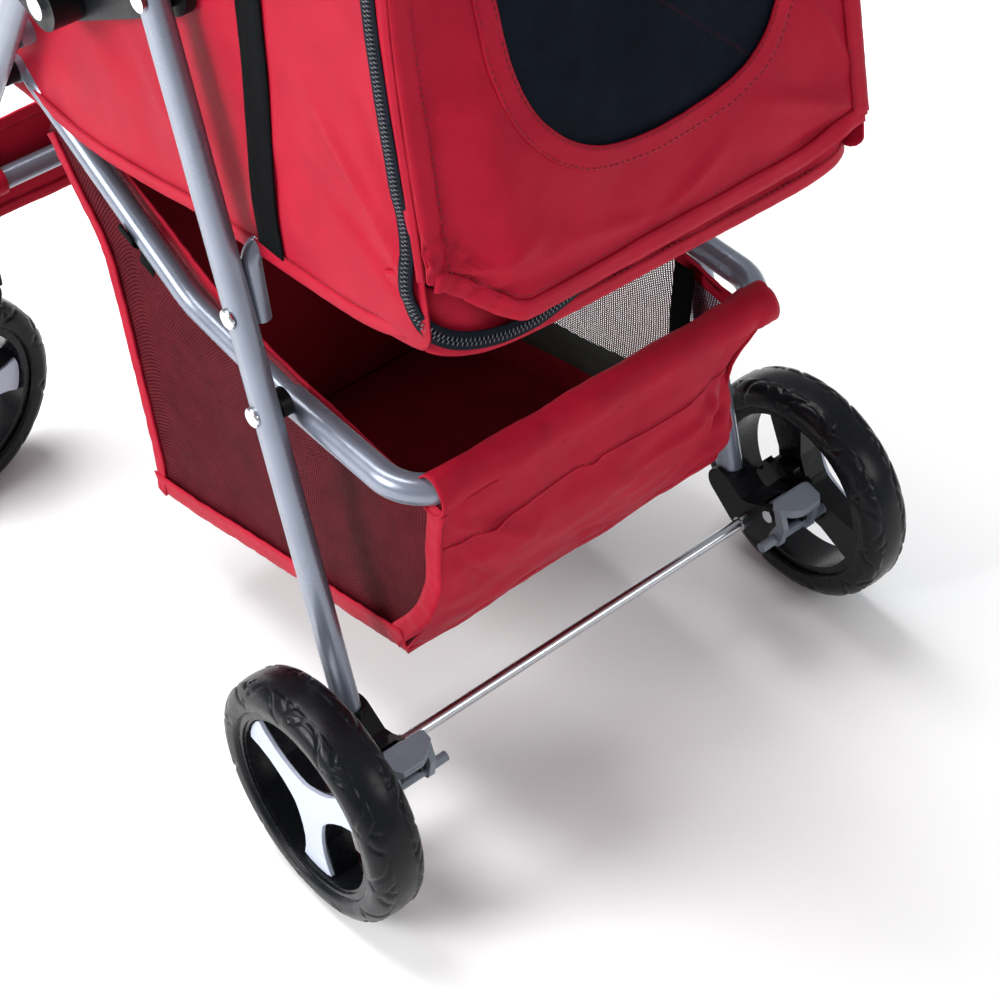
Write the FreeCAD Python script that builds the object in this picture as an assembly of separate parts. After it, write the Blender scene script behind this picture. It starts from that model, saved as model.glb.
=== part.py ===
"""Folding four-wheeled pet stroller.

Millimetres. +Z is up, the stroller rolls forwards towards -Y, and +X is its own left.
The model is laid out from the rear axle (y = 0) and is moved by AXLE_Y when it is saved, so that
the origin is the middle of the bounding box, on the ground.
"""
import FreeCAD, Part
import math
import os

Vec = FreeCAD.Vector
X_AXIS = Vec(1, 0, 0)

# ---------------------------------------------------------------- driving dimensions
AXLE_Y = 207.36                    # rear axle's place in the saved frame

WHEEL_R = 85.0
WHEEL_HALF_WIDTH = 18.8
REAR_WHEEL_X = 209.0
TYRE_INNER_R = 66.0
TYRE_CORNER_R = 12.0
AXLE_R = 4.0
RUNNING_CLEARANCE = 0.06

LEG_X = 165.0                      # middle plane of both legs on one side
LEG_WIDTH = 20.0                   # flat-oval tube, seen from the side
LEG_THICK = 15.0                   # flat-oval tube, across the stroller
WALL = 1.5
FRONT_LEG_SLOPE = 0.655            # dy/dz
FRONT_LEG_Y500 = -300.0
REAR_LEG_SLOPE = -0.263
REAR_LEG_Y85 = -24.5
REAR_LEG_FOOT = 93.0

FOLD_PIVOT = (-262.0, 510.0)       # handle knuckle on leg knuckle (y, z)
LEG_PIVOT = (-151.0, 566.0)        # rear leg on handle knuckle
LINK_PIVOT = (-88.0, 316.0)        # basket tube on rear leg
FRONT_PIVOT = (-364.0, 403.0)      # basket link on front leg
BAR_RIVET = (-102.0, 381.0)        # cabin support bar on rear leg
SPLIT_Z = 560.0                    # where the front leg ends and the handle begins

LINK_X = 140.0
LINK_R = 8.0
BASKET_TUBE_R = 9.5
BASKET_HALF_WIDTH = 130.0
FRONT_BAR = (-463.8, 250.0)
FRONT_BAR_R = 8.0
CABIN_BAR = (-335.4, 446.0)
SUPPORT_BAR = (-108.0, 418.0)

HANDLE_R = 9.0
GRIP_R = 16.0
GRIP_HALF = 105.0
HANDLE_BEND = (-57.65, 870.0)
HANDLE_TOP = (60.0, 965.0)

CABIN_HALF_WIDTH = 146.0
CABIN_WALL = 3.0
FLOOR_Z = 456.0
ARCH_CENTRE = (-190.0, 650.0)      # middle of the roof arc and the canopy's pivot
ARCH_R = 218.0
CANOPY_R = 226.0
CANOPY_WALL = 4.0
CANOPY_START = 62.0                # degrees from rearwards, at rest
CANOPY_END = 165.0

SWIVEL = (165.5, -473.0)           # caster's upright axis (x, y)
CASTER_TRAIL = 36.0
CASTER_TURN = 79.0                 # both casters stand turned outwards
STEM_R = 6.0

BRACKET_X = (154.0, 176.0)         # rear leg's housing, across the stroller
BRAKE_PIVOT = (20.0, 103.0)
BRAKE_BAR = (31.0, 92.0)
BRAKE_BAR_DOWN = (28.0, 89.7)      # the bar when the pad is pressed
BRAKE_BAR_R = 3.5
RATCHET_R = 27.8
RATCHET_TEETH = 12
BRAKE_NOTCH_ANGLE = 9.5          # where the bar drops in, degrees above rearwards

SPOKE_PHASE = 35.0                 # first spoke of a wheel, degrees above rearwards
RIGHT_SPOKE_PHASE = 105.0
FRONT_SPOKE_PHASE = 68.0
INSERT_EDGE = [(8.5, 14.7), (13.0, 13.0), (19.0, 11.3), (27.0, 10.0), (38.0, 9.6), (48.0, 11.2),
               (56.5, 14.0), (58.4, 9.0), (59.3, 0.0)]


# ---------------------------------------------------------------- helpers
def at(x, point):
    """A (y, z) point of the side view, at a distance x from the middle plane."""
    return Vec(x, point[0], point[1])


def front_leg(z):
    return (FRONT_LEG_Y500 + FRONT_LEG_SLOPE * (z - 500.0), z)


def rear_leg(z):
    return (REAR_LEG_Y85 + REAR_LEG_SLOPE * (z - 85.0), z)


def on_circle(centre, radius, degrees):
    angle = math.radians(degrees)
    return (centre[0] + radius * math.cos(angle), centre[1] + radius * math.sin(angle))


def pin(x0, x1, point, radius):
    """A cylinder across the stroller."""
    return Part.makeCylinder(radius, x1 - x0, at(x0, point), X_AXIS)


def ring(x0, x1, point, outer, inner):
    return pin(x0, x1, point, outer).cut(pin(x0 - 1, x1 + 1, point, inner))


def rod(start, end, radius):
    way = end - start
    return Part.makeCylinder(radius, way.Length, start, way)


def fuse(shapes):
    return shapes[0].multiFuse(shapes[1:]).removeSplitter()


def side_plate(points, x0, x1):
    """A flat plate whose outline is a polygon of (y, z) points."""
    wire = Part.makePolygon([at(x0, p) for p in points] + [at(x0, points[0])])
    return Part.Face(wire).extrude(Vec(x1 - x0, 0, 0))


def rounded_link(circles, x0, x1):
    """A plate round a chain of circles, each ((y, z), radius)."""
    pieces = [pin(x0, x1, centre, radius) for centre, radius in circles]
    for (a, ra), (b, rb) in zip(circles, circles[1:]):
        gap = math.dist(a, b)
        way = math.atan2(b[1] - a[1], b[0] - a[0])
        lean = math.acos((ra - rb) / gap)
        sides = []
        for centre, radius, sign in ((a, ra, 1), (b, rb, 1), (b, rb, -1), (a, ra, -1)):
            angle = math.degrees(way + sign * lean)
            sides.append(on_circle(centre, radius, angle))
        pieces.append(side_plate(sides, x0, x1))
    return fuse(pieces)


def rounded_path(points, bend):
    """A wire through the points with every corner rounded to the bend radius."""
    edges = []
    start = points[0]
    for before, corner, after in zip(points, points[1:], points[2:]):
        a = (before - corner).normalize()
        b = (after - corner).normalize()
        half = a.getAngle(b) / 2.0
        cut = bend / math.tan(half)
        middle = (a + b).normalize() * (bend / math.sin(half) - bend)
        edges.append(Part.LineSegment(start, corner + a * cut).toShape())
        edges.append(Part.Arc(corner + a * cut, corner + middle, corner + b * cut).toShape())
        start = corner + b * cut
    edges.append(Part.LineSegment(start, points[-1]).toShape())
    return Part.Wire(edges)


def swept(points, bend, radius):
    path = rounded_path(points, bend)
    circle = Part.Circle(points[0], points[1] - points[0], radius)
    return path.makePipeShell([Part.Wire(circle.toShape())], True, True)


def tube(points, bend, radius, wall=WALL):
    return swept(points, bend, radius).cut(swept(points, bend, radius - wall))


def oval_bar(start, end, x, width, thick):
    """A straight flat-oval bar between two (y, z) points."""
    flat = (width - thick) / 2.0
    half = thick / 2.0
    first = Part.makeCylinder(half, math.dist(start, end), Vec(0, -flat, 0))
    second = Part.makeCylinder(half, math.dist(start, end), Vec(0, flat, 0))
    middle = Part.makeBox(thick, 2 * flat, math.dist(start, end), Vec(-half, -flat, 0))
    bar = fuse([first, second, middle])
    lean = math.degrees(math.atan2(end[0] - start[0], end[1] - start[1]))
    bar.rotate(Vec(0, 0, 0), X_AXIS, -lean)
    bar.translate(at(x, start))
    return bar


def oval_tube(start, end, x):
    outer = oval_bar(start, end, x, LEG_WIDTH, LEG_THICK)
    return outer.cut(oval_bar(start, end, x, LEG_WIDTH - 2 * WALL, LEG_THICK - 2 * WALL))


def mirrored(shape):
    return shape.mirror(Vec(0, 0, 0), X_AXIS)


def save(name, *shapes):
    shape = shapes[0] if len(shapes) == 1 else Part.Compound(list(shapes))
    moved = shape.copy()
    moved.translate(Vec(0, AXLE_Y, 0))
    moved.exportStep("parts/" + name + ".step")


def save_pair(name, left):
    save("left_" + name, left)
    save("right_" + name, mirrored(left))


# ---------------------------------------------------------------- wheels (axis X, middle at 0)
def tyre():
    """A ring with rounded shoulders."""
    w, r, c = WHEEL_HALF_WIDTH, WHEEL_R, TYRE_CORNER_R
    k = c * (1 - math.sqrt(0.5))
    edges = [
        Part.LineSegment(Vec(-w, 0, TYRE_INNER_R), Vec(-w, 0, r - c)),
        Part.Arc(Vec(-w, 0, r - c), Vec(-w + k, 0, r - k), Vec(-w + c, 0, r)),
        Part.LineSegment(Vec(-w + c, 0, r), Vec(w - c, 0, r)),
        Part.Arc(Vec(w - c, 0, r), Vec(w - k, 0, r - k), Vec(w, 0, r - c)),
        Part.LineSegment(Vec(w, 0, r - c), Vec(w, 0, TYRE_INNER_R)),
        Part.LineSegment(Vec(w, 0, TYRE_INNER_R), Vec(-w, 0, TYRE_INNER_R)),
    ]
    profile = Part.Face(Part.Wire([edge.toShape() for edge in edges]))
    return profile.revolve(Vec(0, 0, 0), X_AXIS, 360)


def spokes(x0, x1, phase, inner_half, neck_half, outer_half, end_r):
    """Three arms that are widest at the rim and narrowest half way."""
    arms = []
    for number in range(3):
        outline = [(0, -inner_half), (end_r * 0.5, -neck_half), (end_r, -outer_half),
                   (end_r, outer_half), (end_r * 0.5, neck_half), (0, inner_half)]
        arm = side_plate(outline, x0, x1)
        arm.rotate(Vec(0, 0, 0), X_AXIS, phase + 120 * number)
        arms.append(arm)
    return arms


def hub_rim():
    rim = ring(-14, 14, (0, 0), TYRE_INNER_R, 60.0)
    lip = ring(11, 15.5, (0, 0), TYRE_INNER_R, 62.0)
    return [rim, lip]


def rear_hub(phase):
    """Rim, three spokes and a boss with the brake's ratchet on its inner face."""
    inner = -WHEEL_HALF_WIDTH + 0.1
    ratchet = pin(inner, -12.5, (0, 0), RATCHET_R)
    for tooth in range(RATCHET_TEETH):
        angle = BRAKE_NOTCH_ANGLE + tooth * 360.0 / RATCHET_TEETH
        notch = on_circle((0, 0), RATCHET_R + 0.6, angle)
        ratchet = ratchet.cut(pin(inner - 1, -11, notch, BRAKE_BAR_R + 1.2))
    boss = pin(-13, 9, (0, 0), 17.0)
    body = fuse(hub_rim() + spokes(-9, 9, phase, 14.5, 10.7, 16.0, 61.0) + [boss, ratchet])
    return body.cut(pin(inner - 1, 7.6, (0, 0), AXLE_R + RUNNING_CLEARANCE))


def front_hub(phase):
    boss = pin(-18.5, 18.5, (0, 0), 12.0)
    body = fuse(hub_rim() + spokes(-7, 7, phase, 14.5, 10.7, 16.0, 61.0) + [boss])
    return body.cut(pin(-20, 20, (0, 0), AXLE_R + RUNNING_CLEARANCE))


def wheel_insert(x0, phase, hole):
    """Pale cover over the three spokes."""
    arm = [(p, -q) for p, q in INSERT_EDGE[1:]] + INSERT_EDGE[-2::-1]
    outline = []
    for number in range(3):
        turn = math.radians(phase + 120 * number)
        outline += [(p * math.cos(turn) - q * math.sin(turn), p * math.sin(turn) + q * math.cos(turn))
                    for p, q in arm]
    cover = side_plate(outline, x0, x0 + 2.5)
    if hole:
        cover = cover.cut(pin(x0 - 1, x0 + 4, (0, 0), hole))
    return cover


def save_rear_wheels():
    for side, phase in (("left", SPOKE_PHASE), ("right", RIGHT_SPOKE_PHASE)):
        pieces = {"rear_tyre": tyre(), "rear_hub": rear_hub(phase),
                  "rear_hub_cover": wheel_insert(9.0, phase, 0)}
        for name, shape in pieces.items():
            shape.translate(Vec(REAR_WHEEL_X, 0, WHEEL_R))
            save(side + "_" + name, shape if side == "left" else mirrored(shape))


# ---------------------------------------------------------------- casters
def turned(shape):
    """From straight ahead on the swivel's own axis to where the left caster stands."""
    shape.rotate(Vec(0, 0, 0), Vec(0, 0, 1), -CASTER_TURN)
    shape.translate(Vec(SWIVEL[0], SWIVEL[1], 0))
    return shape


def caster_fork():
    """A yoke over the wheel with its upright stem."""
    axle = (CASTER_TRAIL, WHEEL_R)
    arms = []
    for inner in (20.2, -24.7):
        arm = rounded_link([((2.0, 170.0), 14.0), (axle, 11.0)], inner, inner + 4.5)
        arms.append(arm)
    crown = Part.makeBox(49.4, 32.0, 10.0, Vec(-24.7, -14.0, 174.5))
    crown = crown.fuse(Part.makeCylinder(15.0, 11.0, Vec(0, 0, 174.5)))
    stem = Part.makeCylinder(STEM_R, 24.0, Vec(0, 0, 182.0))
    body = fuse(arms + [crown, stem])
    return turned(body.cut(pin(-30, 30, axle, AXLE_R)))


def front_axle():
    axle = (CASTER_TRAIL, WHEEL_R)
    shaft = pin(-24.7, 24.7, axle, AXLE_R)
    return turned(fuse([shaft, pin(24.7, 28.2, axle, 7.0), pin(-28.2, -24.7, axle, 7.0)]))


def caster_socket():
    """Holds the foot of the front leg over the caster's stem."""
    foot = front_leg(212.0)
    sleeve = oval_bar(foot, front_leg(262.0), LEG_X, LEG_WIDTH + 6, LEG_THICK + 6)
    base = Part.makeCylinder(18.0, 44.0, Vec(SWIVEL[0], SWIVEL[1], 186.0))
    web = rounded_link([((SWIVEL[1], 204.0), 17.0), (front_leg(224.0), 13.0)],
                       LEG_X - 9, LEG_X + 9)
    body = fuse([base, web, sleeve])
    body = body.cut(oval_bar(foot, front_leg(270.0), LEG_X, LEG_WIDTH, LEG_THICK))
    body = body.cut(pin(140, LEG_X, FRONT_BAR, FRONT_BAR_R))
    bore = Part.makeCylinder(STEM_R + RUNNING_CLEARANCE, 21.0, Vec(SWIVEL[0], SWIVEL[1], 185.9))
    return body.cut(bore)


def save_casters():
    save_pair("caster_fork", caster_fork())
    save_pair("front_axle", front_axle())
    save_pair("caster_socket", caster_socket())
    move = Vec(0, CASTER_TRAIL, WHEEL_R)
    covers = Part.Compound([wheel_insert(7.0, FRONT_SPOKE_PHASE, 12.0),
                            wheel_insert(-9.5, FRONT_SPOKE_PHASE, 12.0)])
    pieces = {"front_tyre": tyre(), "front_hub": front_hub(FRONT_SPOKE_PHASE),
              "front_hub_covers": covers}
    for name, shape in pieces.items():
        shape.translate(move)
        save_pair(name, turned(shape))


# ---------------------------------------------------------------- front frame
def save_front_frame():
    leg = oval_tube(front_leg(212.0), front_leg(SPLIT_Z - 4.0), LEG_X)
    save_pair("front_leg", leg.cut(pin(150, 180, FRONT_PIVOT, 3.0)))

    half = LEG_X - LEG_THICK / 2
    save("front_crossbar", tube([at(-half, FRONT_BAR), at(half, FRONT_BAR)], 0, FRONT_BAR_R))
    save("cabin_front_bar", tube([at(-half, CABIN_BAR), at(half, CABIN_BAR)], 0, 8.5))

    sleeve = oval_bar(front_leg(506.0), front_leg(SPLIT_Z - 0.4), LEG_X + 0.15,
                      LEG_WIDTH + 7, 19.7)
    ear = rounded_link([(FOLD_PIVOT, 16.0), (front_leg(516.0), 12.0), (front_leg(538.0), 12.0)],
                       155.3, 175.0)
    knuckle = fuse([sleeve, ear])
    knuckle = knuckle.cut(oval_bar(front_leg(490.0), front_leg(SPLIT_Z - 4.0), LEG_X,
                                   LEG_WIDTH, LEG_THICK))
    save_pair("leg_knuckle", knuckle.cut(pin(150, 180, FOLD_PIVOT, 4.0)))

    fold_pin = fuse([pin(147.0, 175.0, FOLD_PIVOT, 4.0), pin(175.0, 178.0, FOLD_PIVOT, 8.0),
                     pin(147.0, 148.3, FOLD_PIVOT, 7.0)])
    save("fold_pins", fold_pin, mirrored(fold_pin))

    spacer = ring(149.3, 157.5, FRONT_PIVOT, 8.0, 3.0)
    save("front_pivot_spacers", spacer, mirrored(spacer))
    bolt = fuse([pin(131.5, 172.5, FRONT_PIVOT, 3.0), pin(172.5, 175.0, FRONT_PIVOT, 6.5)])
    save("front_pivot_bolts", bolt, mirrored(bolt))

    band = Part.makeBox(292.0, 20.0, 76.0, Vec(-146.0, FRONT_BAR[0] - 10.0, 214.0))
    band = band.makeFillet(9.0, [e for e in band.Edges if e.BoundBox.XLength > 200])
    save("basket_front_band", band.cut(pin(-160, 160, FRONT_BAR, FRONT_BAR_R)))


# ---------------------------------------------------------------- handle
def save_handle():
    foot = front_leg(SPLIT_Z + 6.0)
    half = [at(LEG_X, foot), at(LEG_X, HANDLE_BEND), at(LEG_X, HANDLE_TOP)]
    points = half + [Vec(-p.x, p.y, p.z) for p in reversed(half)]
    save("handle_tube", tube(points, 45.0, HANDLE_R))
    save("handle_grip", ring(-GRIP_HALF, GRIP_HALF, HANDLE_TOP, GRIP_R, HANDLE_R))

    socket = rod(at(LEG_X, front_leg(SPLIT_Z + 0.4)), at(LEG_X, front_leg(612.0)), 12.5)
    plate = rounded_link([(FOLD_PIVOT, 17.0), (front_leg(598.0), 14.0), (LEG_PIVOT, 16.0),
                          (FOLD_PIVOT, 17.0)], 148.5, 155.0)
    web = side_plate([FOLD_PIVOT, front_leg(598.0), LEG_PIVOT], 148.5, 155.0)
    bush = pin(154.0, 157.2, LEG_PIVOT, 10.0)
    knuckle = fuse([plate, web, bush, socket])
    knuckle = knuckle.cut(rod(at(LEG_X, foot), at(LEG_X, front_leg(640.0)), HANDLE_R))
    knuckle = knuckle.cut(pin(140, 160, FOLD_PIVOT, 4.0 + RUNNING_CLEARANCE))
    knuckle = knuckle.cut(pin(140, 160, LEG_PIVOT, 3.0 + RUNNING_CLEARANCE))
    latch_pivot = front_leg(600.0)
    knuckle = knuckle.cut(pin(174.1, 180, latch_pivot, 2.5))
    save_pair("handle_knuckle", knuckle)

    lever = rounded_link([(front_leg(550.0), 6.5), (latch_pivot, 9.0), (front_leg(622.0), 6.0)],
                         177.9, 182.0)
    thumb = rounded_link([(front_leg(612.0), 6.0), (front_leg(622.0), 6.0)], 181.0, 189.0)
    lever = fuse([lever, thumb]).cut(pin(170, 190, latch_pivot, 2.5 + RUNNING_CLEARANCE))
    save_pair("fold_latch", lever)
    latch_pin = fuse([pin(174.3, 182.2, latch_pivot, 2.5), pin(182.2, 184.0, latch_pivot, 5.0)])
    save("latch_pins", latch_pin, mirrored(latch_pin))
    save("cup_tray", cup_tray())


def cup_tray():
    """Parcel tray with two round cup wells, clipped round the handle's side tubes."""
    lower, upper = 886.0, 924.0
    front, rear = -66.0, 44.0
    body = Part.makeBox(288.0, rear - front, upper - lower, Vec(-144.0, front, lower))
    body = body.makeFillet(14.0, [e for e in body.Edges if abs(e.BoundBox.ZLength) > 30])
    middle = (front + rear) / 2
    for x in (-96.0, 96.0):
        body = body.cut(Part.makeCylinder(39.0, 60.0, Vec(x, middle, lower + 3.0)))
    pocket = Part.makeBox(96.0, 92.0, 60.0, Vec(-48.0, front + 9.0, lower + 3.0))
    pocket = pocket.makeFillet(8.0, [e for e in pocket.Edges if abs(e.BoundBox.ZLength) > 50])
    body = body.cut(pocket)
    slope = ((HANDLE_TOP[0] - HANDLE_BEND[0]) / (HANDLE_TOP[1] - HANDLE_BEND[1]))
    for sign in (1, -1):
        low = (HANDLE_BEND[0] + slope * (896.0 - HANDLE_BEND[1]), 896.0)
        high = (HANDLE_BEND[0] + slope * (914.0 - HANDLE_BEND[1]), 914.0)
        clip = rod(at(sign * LEG_X, low), at(sign * LEG_X, high), 13.0)
        arm = Part.makeBox(24.0, 26.0, 14.0, Vec(150.0 - 12.0 if sign > 0 else -162.0,
                                                 (low[0] + high[0]) / 2 - 13.0, 898.0))
        body = body.fuse(clip).fuse(arm)
    for sign in (1, -1):
        body = body.cut(rod(at(sign * LEG_X, HANDLE_BEND), at(sign * LEG_X, HANDLE_TOP),
                            HANDLE_R))
    return body.removeSplitter()


# ---------------------------------------------------------------- rear legs
def rear_bracket():
    """Housing that joins the foot of the leg to the axle."""
    foot = rear_leg(REAR_LEG_FOOT)
    outline = [(rear_leg(98.0), 11.5), ((-9.0, 84.0), 13.0), ((6.0, 86.0), 15.0),
               ((22.0, 98.0), 12.0)]
    body = rounded_link(outline, *BRACKET_X)
    collar = oval_bar(foot, rear_leg(107.0), LEG_X, LEG_WIDTH + 4, LEG_THICK + 5)
    boss = pin(BRACKET_X[1], 189.6, (0, WHEEL_R), 11.0)
    body = fuse([body, collar, boss])
    slot = rounded_link([(BRAKE_PIVOT, 10.5), ((46.0, 112.0), 14.0)], 158.0, 172.0)
    body = body.cut(slot)
    sweep = rounded_link([(BRAKE_BAR, 4.5), (BRAKE_BAR_DOWN, 4.5)], 150.0, 180.0)
    body = body.cut(sweep)
    body = body.cut(oval_bar(foot, rear_leg(170.0), LEG_X, LEG_WIDTH, LEG_THICK))
    body = body.cut(pin(140, 200, (0, WHEEL_R), AXLE_R))
    return body.cut(pin(140, 200, BRAKE_PIVOT, 2.5))


def brake_lever():
    """Leaf-shaped foot pad, and two arms down to the locking bar."""
    hub = pin(158.4, 171.6, BRAKE_PIVOT, 7.5)
    neck = rounded_link([(BRAKE_PIVOT, 7.5), ((29.0, 117.0), 4.5)], 158.4, 171.6)
    slab = rounded_link([((27.0, 120.0), 3.2), ((41.0, 117.0), 3.2)], 149.0, 181.0)
    plan = [(149, 27), (153, 24), (165, 22), (177, 24), (181, 28), (181, 39), (177, 43.5),
            (165, 44.5), (155, 39), (149, 34)]
    leaf = Part.makePolygon([Vec(x, y, 105) for x, y in plan + plan[:1]])
    pad = slab.common(Part.Face(leaf).extrude(Vec(0, 0, 25)))
    arms = []
    for x in (149.0, 176.3):
        arms.append(rounded_link([((31.0, 118.0), 3.0), ((35.0, 105.0), 3.6), (BRAKE_BAR, 5.5)],
                                 x, x + 4.7))
    body = fuse([hub, neck, pad] + arms)
    body = body.cut(pin(140, 190, BRAKE_BAR, BRAKE_BAR_R))
    return body.cut(pin(140, 190, BRAKE_PIVOT, 2.5 + RUNNING_CLEARANCE))


def save_rear_legs():
    leg = oval_tube(rear_leg(REAR_LEG_FOOT), rear_leg(LEG_PIVOT[1] + 14.0), LEG_X)
    leg = leg.cut(pin(150, 180, LEG_PIVOT, 3.0))
    save_pair("rear_leg", leg)
    save_pair("rear_bracket", rear_bracket())
    axle = pin(-REAR_WHEEL_X - 7.0, REAR_WHEEL_X + 7.0, (0, WHEEL_R), AXLE_R)
    collars = [ring(146.0, 153.9, (0, WHEEL_R), 5.2, AXLE_R),
               ring(-153.9, -146.0, (0, WHEEL_R), 5.2, AXLE_R)]
    save("rear_axle", fuse([axle] + collars))

    outer = 151.0
    half = [at(outer, (BAR_RIVET[0], BAR_RIVET[1] - 11.0)), at(outer, SUPPORT_BAR)]
    points = half + [Vec(-p.x, p.y, p.z) for p in reversed(half)]
    save("cabin_support_bar", tube(points, 12.0, 6.0, 1.2))

    spacer = pin(149.9, 157.4, LINK_PIVOT, 9.0)
    save("link_spacers", spacer, mirrored(spacer))
    rivets = []
    for point in (BAR_RIVET, LINK_PIVOT):
        head = pin(172.6, 175.0, point, 6.5)
        rivets.append(head.makeFillet(1.6, [head.Edges[0]]))
    shank = fuse([pin(148.2, 172.5, LEG_PIVOT, 3.0), pin(172.5, 175.0, LEG_PIVOT, 6.5)])
    rivets.append(shank)
    save("leg_rivets", *(rivets + [mirrored(rivet) for rivet in rivets]))

    screw = fuse([pin(154.0, 176.0, BRAKE_PIVOT, 2.5), pin(151.8, 153.9, BRAKE_PIVOT, 4.5)])
    save("brake_screws", screw, mirrored(screw))
    save_pair("brake_lever", brake_lever())
    save_pair("brake_bar", pin(136.0, 195.3, BRAKE_BAR, BRAKE_BAR_R))


# ---------------------------------------------------------------- basket frame and basket
def save_basket_frame():
    bend = (-197.0, 315.0)
    join = (-102.0, 305.0)
    inside = (join[0] + 20.0, join[1])
    link = tube([at(LINK_X, FRONT_PIVOT), at(LINK_X, bend), at(LINK_X, join),
                 at(LINK_X, inside)], 60.0, LINK_R)
    eye = pin(LINK_X - 8.3, LINK_X + 9.0, FRONT_PIVOT, 9.0)
    link = fuse([link, eye]).cut(pin(120, 160, FRONT_PIVOT, 3.0 + RUNNING_CLEARANCE))
    save_pair("basket_link", link)

    corner = (21.0, 305.0)
    start = (join[0] + 5.0, join[1])
    points = [at(LINK_X, start), at(LINK_X, corner), at(-LINK_X, corner), at(-LINK_X, start)]
    save("basket_tube", tube(points, 32.0, BASKET_TUBE_R))

    outline = [(-378, 346), (-346, 311), (-320, 278), (-306, 200), (-297, 78), (-14, 149),
               (24, 235), (20, 295), (-25, 295), (-45, 312), (-139, 312), (-200, 325),
               (-299, 376), (-345, 394)]
    cavity = [(-374, 346), (-343, 311), (-317.3, 278), (-303.4, 200), (-294.6, 81.3),
              (-15.8, 151.4), (21.3, 235), (17.5, 296), (17, 420), (-374, 420)]
    half = BASKET_HALF_WIDTH
    shell = side_plate(outline, -half, half)
    save("basket", shell.cut(side_plate(cavity, -half + 2.5, half - 2.5)))


# ---------------------------------------------------------------- cabin
def arc_points(radius, start, end, step=7.0):
    count = int(round((end - start) / step))
    return [on_circle(ARCH_CENTRE, radius, start + (end - start) * i / count)
            for i in range(count + 1)]


def save_cabin():
    half = CABIN_HALF_WIDTH
    skirt = [(-478, 398), (-262, 392), (0, 428), (40, 448), (52, 470)]
    mouth = [(-318, 770), (-405, 660), (-474, 580)]
    outer = side_plate(skirt + arc_points(ARCH_R, -1, 105) + mouth, -half, half)
    inner_r = ARCH_R - CABIN_WALL
    room = [(-475, FLOOR_Z + 3), (48.6, FLOOR_Z + 3)] + arc_points(inner_r, -1, 105)
    room += [(-270, 930), (-520, 930), (-520, 576), (-475, 576)]
    under = [(-475, 370), (60, 370), (36.5, 446.5), (45.5, FLOOR_Z), (-475, FLOOR_Z)]
    inner = half - CABIN_WALL
    body = outer.cut(side_plate(room, -inner, inner))
    body = body.cut(side_plate(under, -inner, inner))
    for centre, reach, top in ((CABIN_BAR[0], 10.0, FLOOR_Z), (SUPPORT_BAR[0], 9.0, 427.0)):
        body = body.cut(Part.makeBox(400, 2 * reach, top - 380, Vec(-200, centre - reach, 380)))
    body = body.cut(Part.makeBox(400, 77, 35, Vec(-200, -395, 380)))
    body = body.cut(pin(-200, 200, ARCH_CENTRE, 6.0))
    save("cabin_body", body)

    board = Part.makeBox(280.0, 510.0, 3.0, Vec(-140.0, -470.0, FLOOR_Z + 3.0))
    save("cabin_floor_board", board)
    pad = Part.makeBox(272.0, 500.0, 28.0, Vec(-136.0, -466.0, FLOOR_Z + 6.3))
    save("cabin_cushion", pad.makeFillet(9.0, pad.Edges))

    strap = Part.makeBox(1.2, 23.0, 402.0, Vec(half, -99.0, 424.0))
    save("side_straps", strap, mirrored(strap))

    snap = fuse([pin(half - CABIN_WALL, 153.9, ARCH_CENTRE, 6.0),
                 pin(153.9, 155.2, ARCH_CENTRE, 11.0),
                 pin(half - 6.5, half - CABIN_WALL, ARCH_CENTRE, 12.0)])
    save("canopy_pivots", snap, mirrored(snap))


def save_canopy():
    """Hood that turns back over the roof, on two wire bows."""
    inner_r = CANOPY_R - CANOPY_WALL
    sector = [ARCH_CENTRE] + arc_points(CANOPY_R, CANOPY_START, CANOPY_END)
    hub = pin(-150, 150, ARCH_CENTRE, 14.0)
    solid = side_plate(sector, -150.0, 150.0).fuse(hub)
    solid = solid.cut(side_plate(hollow_outline(inner_r), -147.5, 147.5))
    solid = solid.cut(pin(-160, 160, ARCH_CENTRE, 6.3))
    save("canopy", solid.removeSplitter())
    save("canopy_bows", canopy_bow(100.0, 151.2), canopy_bow(163.0, 153.0))


def hollow_outline(radius):
    """Everything inside the hood's skin, down past its pivot."""
    return arc_points(radius, 20, 200) + [(-430, 560), (40, 560)]


def canopy_bow(degrees, x):
    foot = on_circle(ARCH_CENTRE, 9.0, degrees)
    top = on_circle(ARCH_CENTRE, CANOPY_R + 0.8, degrees)
    points = [at(x, foot), at(x, top), at(-x, top), at(-x, foot)]
    wire = swept(points, 2.0, 0.8)
    eyes = [ring(x - 0.8, x + 0.8, ARCH_CENTRE, 10.0, 6.3),
            ring(-x - 0.8, -x + 0.8, ARCH_CENTRE, 10.0, 6.3)]
    return fuse([wire] + eyes)


os.makedirs("parts", exist_ok=True)
save_rear_wheels()
save_casters()
save_front_frame()
save_handle()
save_rear_legs()
save_basket_frame()
save_cabin()
save_canopy()
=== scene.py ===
"""Looks of the folding pet stroller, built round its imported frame. Metres, in the frame's axes.

Lengths in the code are millimetres measured from the rear axle, and P() turns them into the frame.
"""
import math
import bpy
import numpy as np
from mathutils import Vector, Matrix, noise


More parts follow.
